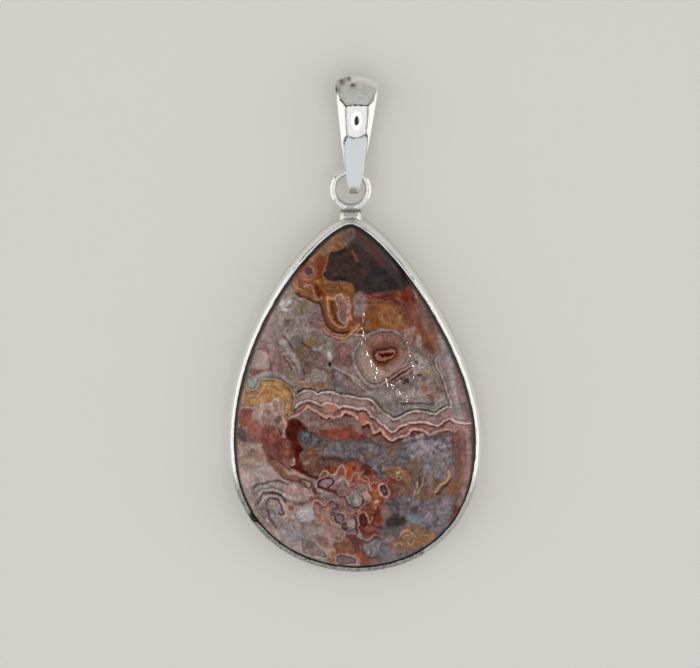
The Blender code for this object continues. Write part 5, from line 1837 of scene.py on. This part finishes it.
def addPanel(name, shape, width, height, brightness, distance):
    # A one-sided glowing panel. Brightness is its radiance.
    light = bpy.data.lights.new(name, "AREA")
    light.shape = shape
    light.size = width * mm
    light.size_y = height * mm
    area = width * height * mm * mm * (math.pi / 4 if shape == "ELLIPSE" else 1.0)
    light.energy = brightness * math.pi * area
    panel = bpy.data.objects.new(name, light)
    panel.matrix_world = hungAt(distance)
    panel.visible_camera = False
    bpy.context.scene.collection.objects.link(panel)
    return panel


def makeLights():
    # The silver shows the ceiling and the glow round the lens. The stone, whose polish would show their
    # edges, and the paper are lit by a panel of the same kind that has no reflection.
    silverPieces = bpy.data.collections.new("silver")
    for item in bpy.context.scene.objects:
        if item.type == "MESH" and not item.name.startswith(("agate", "floor")):
            silverPieces.objects.link(item)
    glow = 2 * studio["glowRadius"]
    away = studio["ceilingDistance"]
    ceiling = addPanel("ceiling", "RECTANGLE", *studio["ceiling"], studio["ceilingBrightness"], away)
    ring = addPanel("glow round the lens", "ELLIPSE", glow, glow, studio["glowBrightness"],
                    away - studio["glowAhead"])
    for panel in (ceiling, ring):
        panel.light_linking.receiver_collection = silverPieces
        panel.visible_diffuse = False
    fillPanel = addPanel("fill", "RECTANGLE", *studio["fill"], studio["fillBrightness"], away)
    fillPanel.visible_glossy = False


def makeLens():
    shape = bmesh.new()
    bmesh.ops.create_circle(shape, cap_ends=True, segments=48, radius=studio["lensRadius"] * mm)
    bmesh.ops.transform(shape, verts=shape.verts, matrix=hungAt(studio["lensDistance"]))
    mesh = bpy.data.meshes.new("lens")
    shape.to_mesh(mesh)
    shape.free()
    material = bpy.data.materials.new("black lens")
    material.use_nodes = True
    material.node_tree.nodes["Principled BSDF"].inputs["Base Color"].default_value = linear(studio["lens"])
    mesh.materials.append(material)
    lens = bpy.data.objects.new("lens", mesh)
    bpy.context.scene.collection.objects.link(lens)
    lens.visible_camera = False
    lens.visible_diffuse = False


# Rows of small lamps at the tent's ceiling, each given by the glint that it makes in the polish: where
# that is in the photograph, and how large it is, from 1 to 3
lamps = {
    "corner": (340.0, 300.0),
    "unitsPerPixel": 11.2,
    "away": 340.0,
    "radius": 0.22,
    "brightness": 130.0,
    "slopeStep": 0.4,
    "glints": [
        (268, 160, 2.6), (255, 228, 1.8), (300, 266, 1.0), (242, 315, 1.8), (265, 362, 2.2),
        (262, 412, 2.4), (246, 458, 1.8), (284, 432, 1.2), (240, 484, 1.4), (306, 605, 3.0),
        (346, 692, 2.4), (352, 724, 1.6), (372, 738, 1.0), (404, 770, 1.8), (420, 796, 2.0),
        (408, 820, 2.0), (376, 832, 1.0), (400, 868, 1.4), (514, 886, 1.6), (520, 912, 2.0),
        (530, 950, 2.6), (576, 950, 2.2), (590, 1000, 1.4), (626, 1005, 1.6), (640, 1025, 2.4),
        (664, 1040, 1.8), (686, 1055, 1.8), (710, 1046, 1.4), (746, 1084, 1.6), (746, 1132, 2.2),
        (770, 1182, 1.2), (712, 1194, 1.2), (732, 400, 2.2), (748, 480, 2.4), (762, 538, 2.0),
        (785, 626, 2.2), (800, 700, 1.8), (816, 738, 2.6), (824, 810, 1.8), (820, 866, 1.6),
        (780, 900, 1.6), (702, 912, 1.2), (670, 904, 1.0), (630, 925, 1.2), (606, 960, 1.2),
        (820, 978, 1.2), (832, 1018, 1.8), (800, 1042, 1.8), (826, 1082, 1.6), (840, 1106, 1.4)],
}


def hangLamps():
    right, up, backwards = (np.array(axis) for axis in cameraAxes())
    eye = np.array(camera["target"]) + camera["distance"] * backwards
    glints = np.array(lamps["glints"])
    spots = np.array(lamps["corner"]) + glints[:, :2] / lamps["unitsPerPixel"]
    across = (spots[:, 0] - camera["photoWidth"] / 2)[:, None]
    down = (spots[:, 1] - camera["photoHeight"] / 2)[:, None]
    ray = (across * right - down * up) * camera["sizeOfOnePixel"] - camera["distance"] * backwards
    ray /= np.linalg.norm(ray, axis=1)[:, None]
    girdle = [(point.x, point.y) for point in insetLoop(plan, setting["wallThickness"] + setting["gap"])]
    height = np.full(len(glints), stone["domeTop"])
    for _ in range(6):
        place = eye + ray * ((height - eye[2]) / ray[:, 2])[:, None]
        height = stoneHeights(place[:, 0], place[:, 1], girdle)[0]
    step = lamps["slopeStep"]
    slopes = [(stoneHeights(place[:, 0] + dx, place[:, 1] + dy, girdle)[0]
               - stoneHeights(place[:, 0] - dx, place[:, 1] - dy, girdle)[0]) / (2 * step)
              for dx, dy in ((step, 0.0), (0.0, step))]
    normal = np.stack([-slopes[0], -slopes[1], np.ones(len(glints))], axis=-1)
    normal /= np.linalg.norm(normal, axis=1)[:, None]
    mirrored = ray - 2 * np.sum(ray * normal, axis=1)[:, None] * normal
    stoneAlone = bpy.data.collections.new("agate")
    stoneAlone.objects.link(bpy.data.objects["agate_cabochon"])
    for spot, way, size in zip(place, mirrored, glints[:, 2]):
        light = bpy.data.lights.new("lamp", "POINT")
        light.shadow_soft_size = lamps["radius"] * size * mm
        light.energy = lamps["brightness"] * (2 * math.pi * light.shadow_soft_size) ** 2
        lamp = bpy.data.objects.new("lamp", light)
        lamp.location = Vector(spot + way * lamps["away"]) * mm
        lamp.visible_camera = False
        lamp.visible_diffuse = False
        lamp.light_linking.receiver_collection = stoneAlone
        bpy.context.scene.collection.objects.link(lamp)
    print("lamps hung between", mirrored.min(axis=0).round(2), mirrored.max(axis=0).round(2))


def makeTent():
    world = bpy.data.worlds.new("light tent")
    world.use_nodes = True
    tree = world.node_tree
    background = tree.nodes["Background"]
    # A direction's parts along the camera's axes, which the ceiling hangs square to
    direction = addNode(tree, "ShaderNodeTexCoord").outputs["Generated"]
    made = {}
    for name, axis in zip(("right", "up", "back"), cameraAxes()):
        part = addNode(tree, "ShaderNodeVectorMath", {"operation": "DOT_PRODUCT", 1: axis}, {0: direction})
        made[name] = part.outputs["Value"]
    # Each step gives its result's name, its operation and its inputs, which are earlier results or numbers
    for name, operation, first, second in (
            ("ahead", "MAXIMUM", "back", studio["leastAhead"]),
            ("across", "DIVIDE", "right", "ahead"),
            ("upwards", "DIVIDE", "up", "ahead"),
            ("along", "ADD", "upwards", studio["tilt"]),
            ("sideways", "ABSOLUTE", "across", 0.0),
            ("offMiddle", "ABSOLUTE", "along", 0.0),
            ("lengthways", "MULTIPLY", "offMiddle", studio["shortened"]),
            ("outwards", "MAXIMUM", "sideways", "lengthways"),
            ("behind", "GREATER_THAN", "along", 0.0),
            ("beside", "GREATER_THAN", "sideways", "lengthways"),
            ("difference", "SUBTRACT", "sideways", "lengthways"),
            ("apart", "ABSOLUTE", "difference", 0.0),
            ("seamReach", "MULTIPLY", "outwards", studio["seamWidth"]),
            ("inSeam", "LESS_THAN", "apart", "seamReach"),
            ("above", "LESS_THAN", "outwards", studio["wallStart"])):
        settings, links = {"operation": operation}, {0: made[first]}
        if isinstance(second, str):
            links[1] = made[second]
        else:
            settings[1] = second
        made[name] = addNode(tree, "ShaderNodeMath", settings, links).outputs[0]
    # The front wall, and over it each surface where its result is 1
    below = {}
    for where, surface in (("behind", "backWall"), ("beside", "sideWall"), ("inSeam", "seam"),
                           ("above", "behindCeiling")):
        mixed = addNode(tree, "ShaderNodeMix", {"data_type": "RGBA"}, {"Factor": made[where], **below})
        if not below:
            mixed.inputs["A"].default_value = linear(studio["frontWall"])
        mixed.inputs["B"].default_value = linear(studio[surface])
        below = {"A": mixed.outputs["Result"]}
    tree.links.new(mixed.outputs["Result"], background.inputs["Color"])
    background.inputs["Strength"].default_value = studio["tentStrength"]
    bpy.context.scene.world = world


makeFloor()
makeLights()
makeLens()
hangLamps()
makeTent()
bpy.context.scene.view_settings.view_transform = "Standard"
print("studio made")
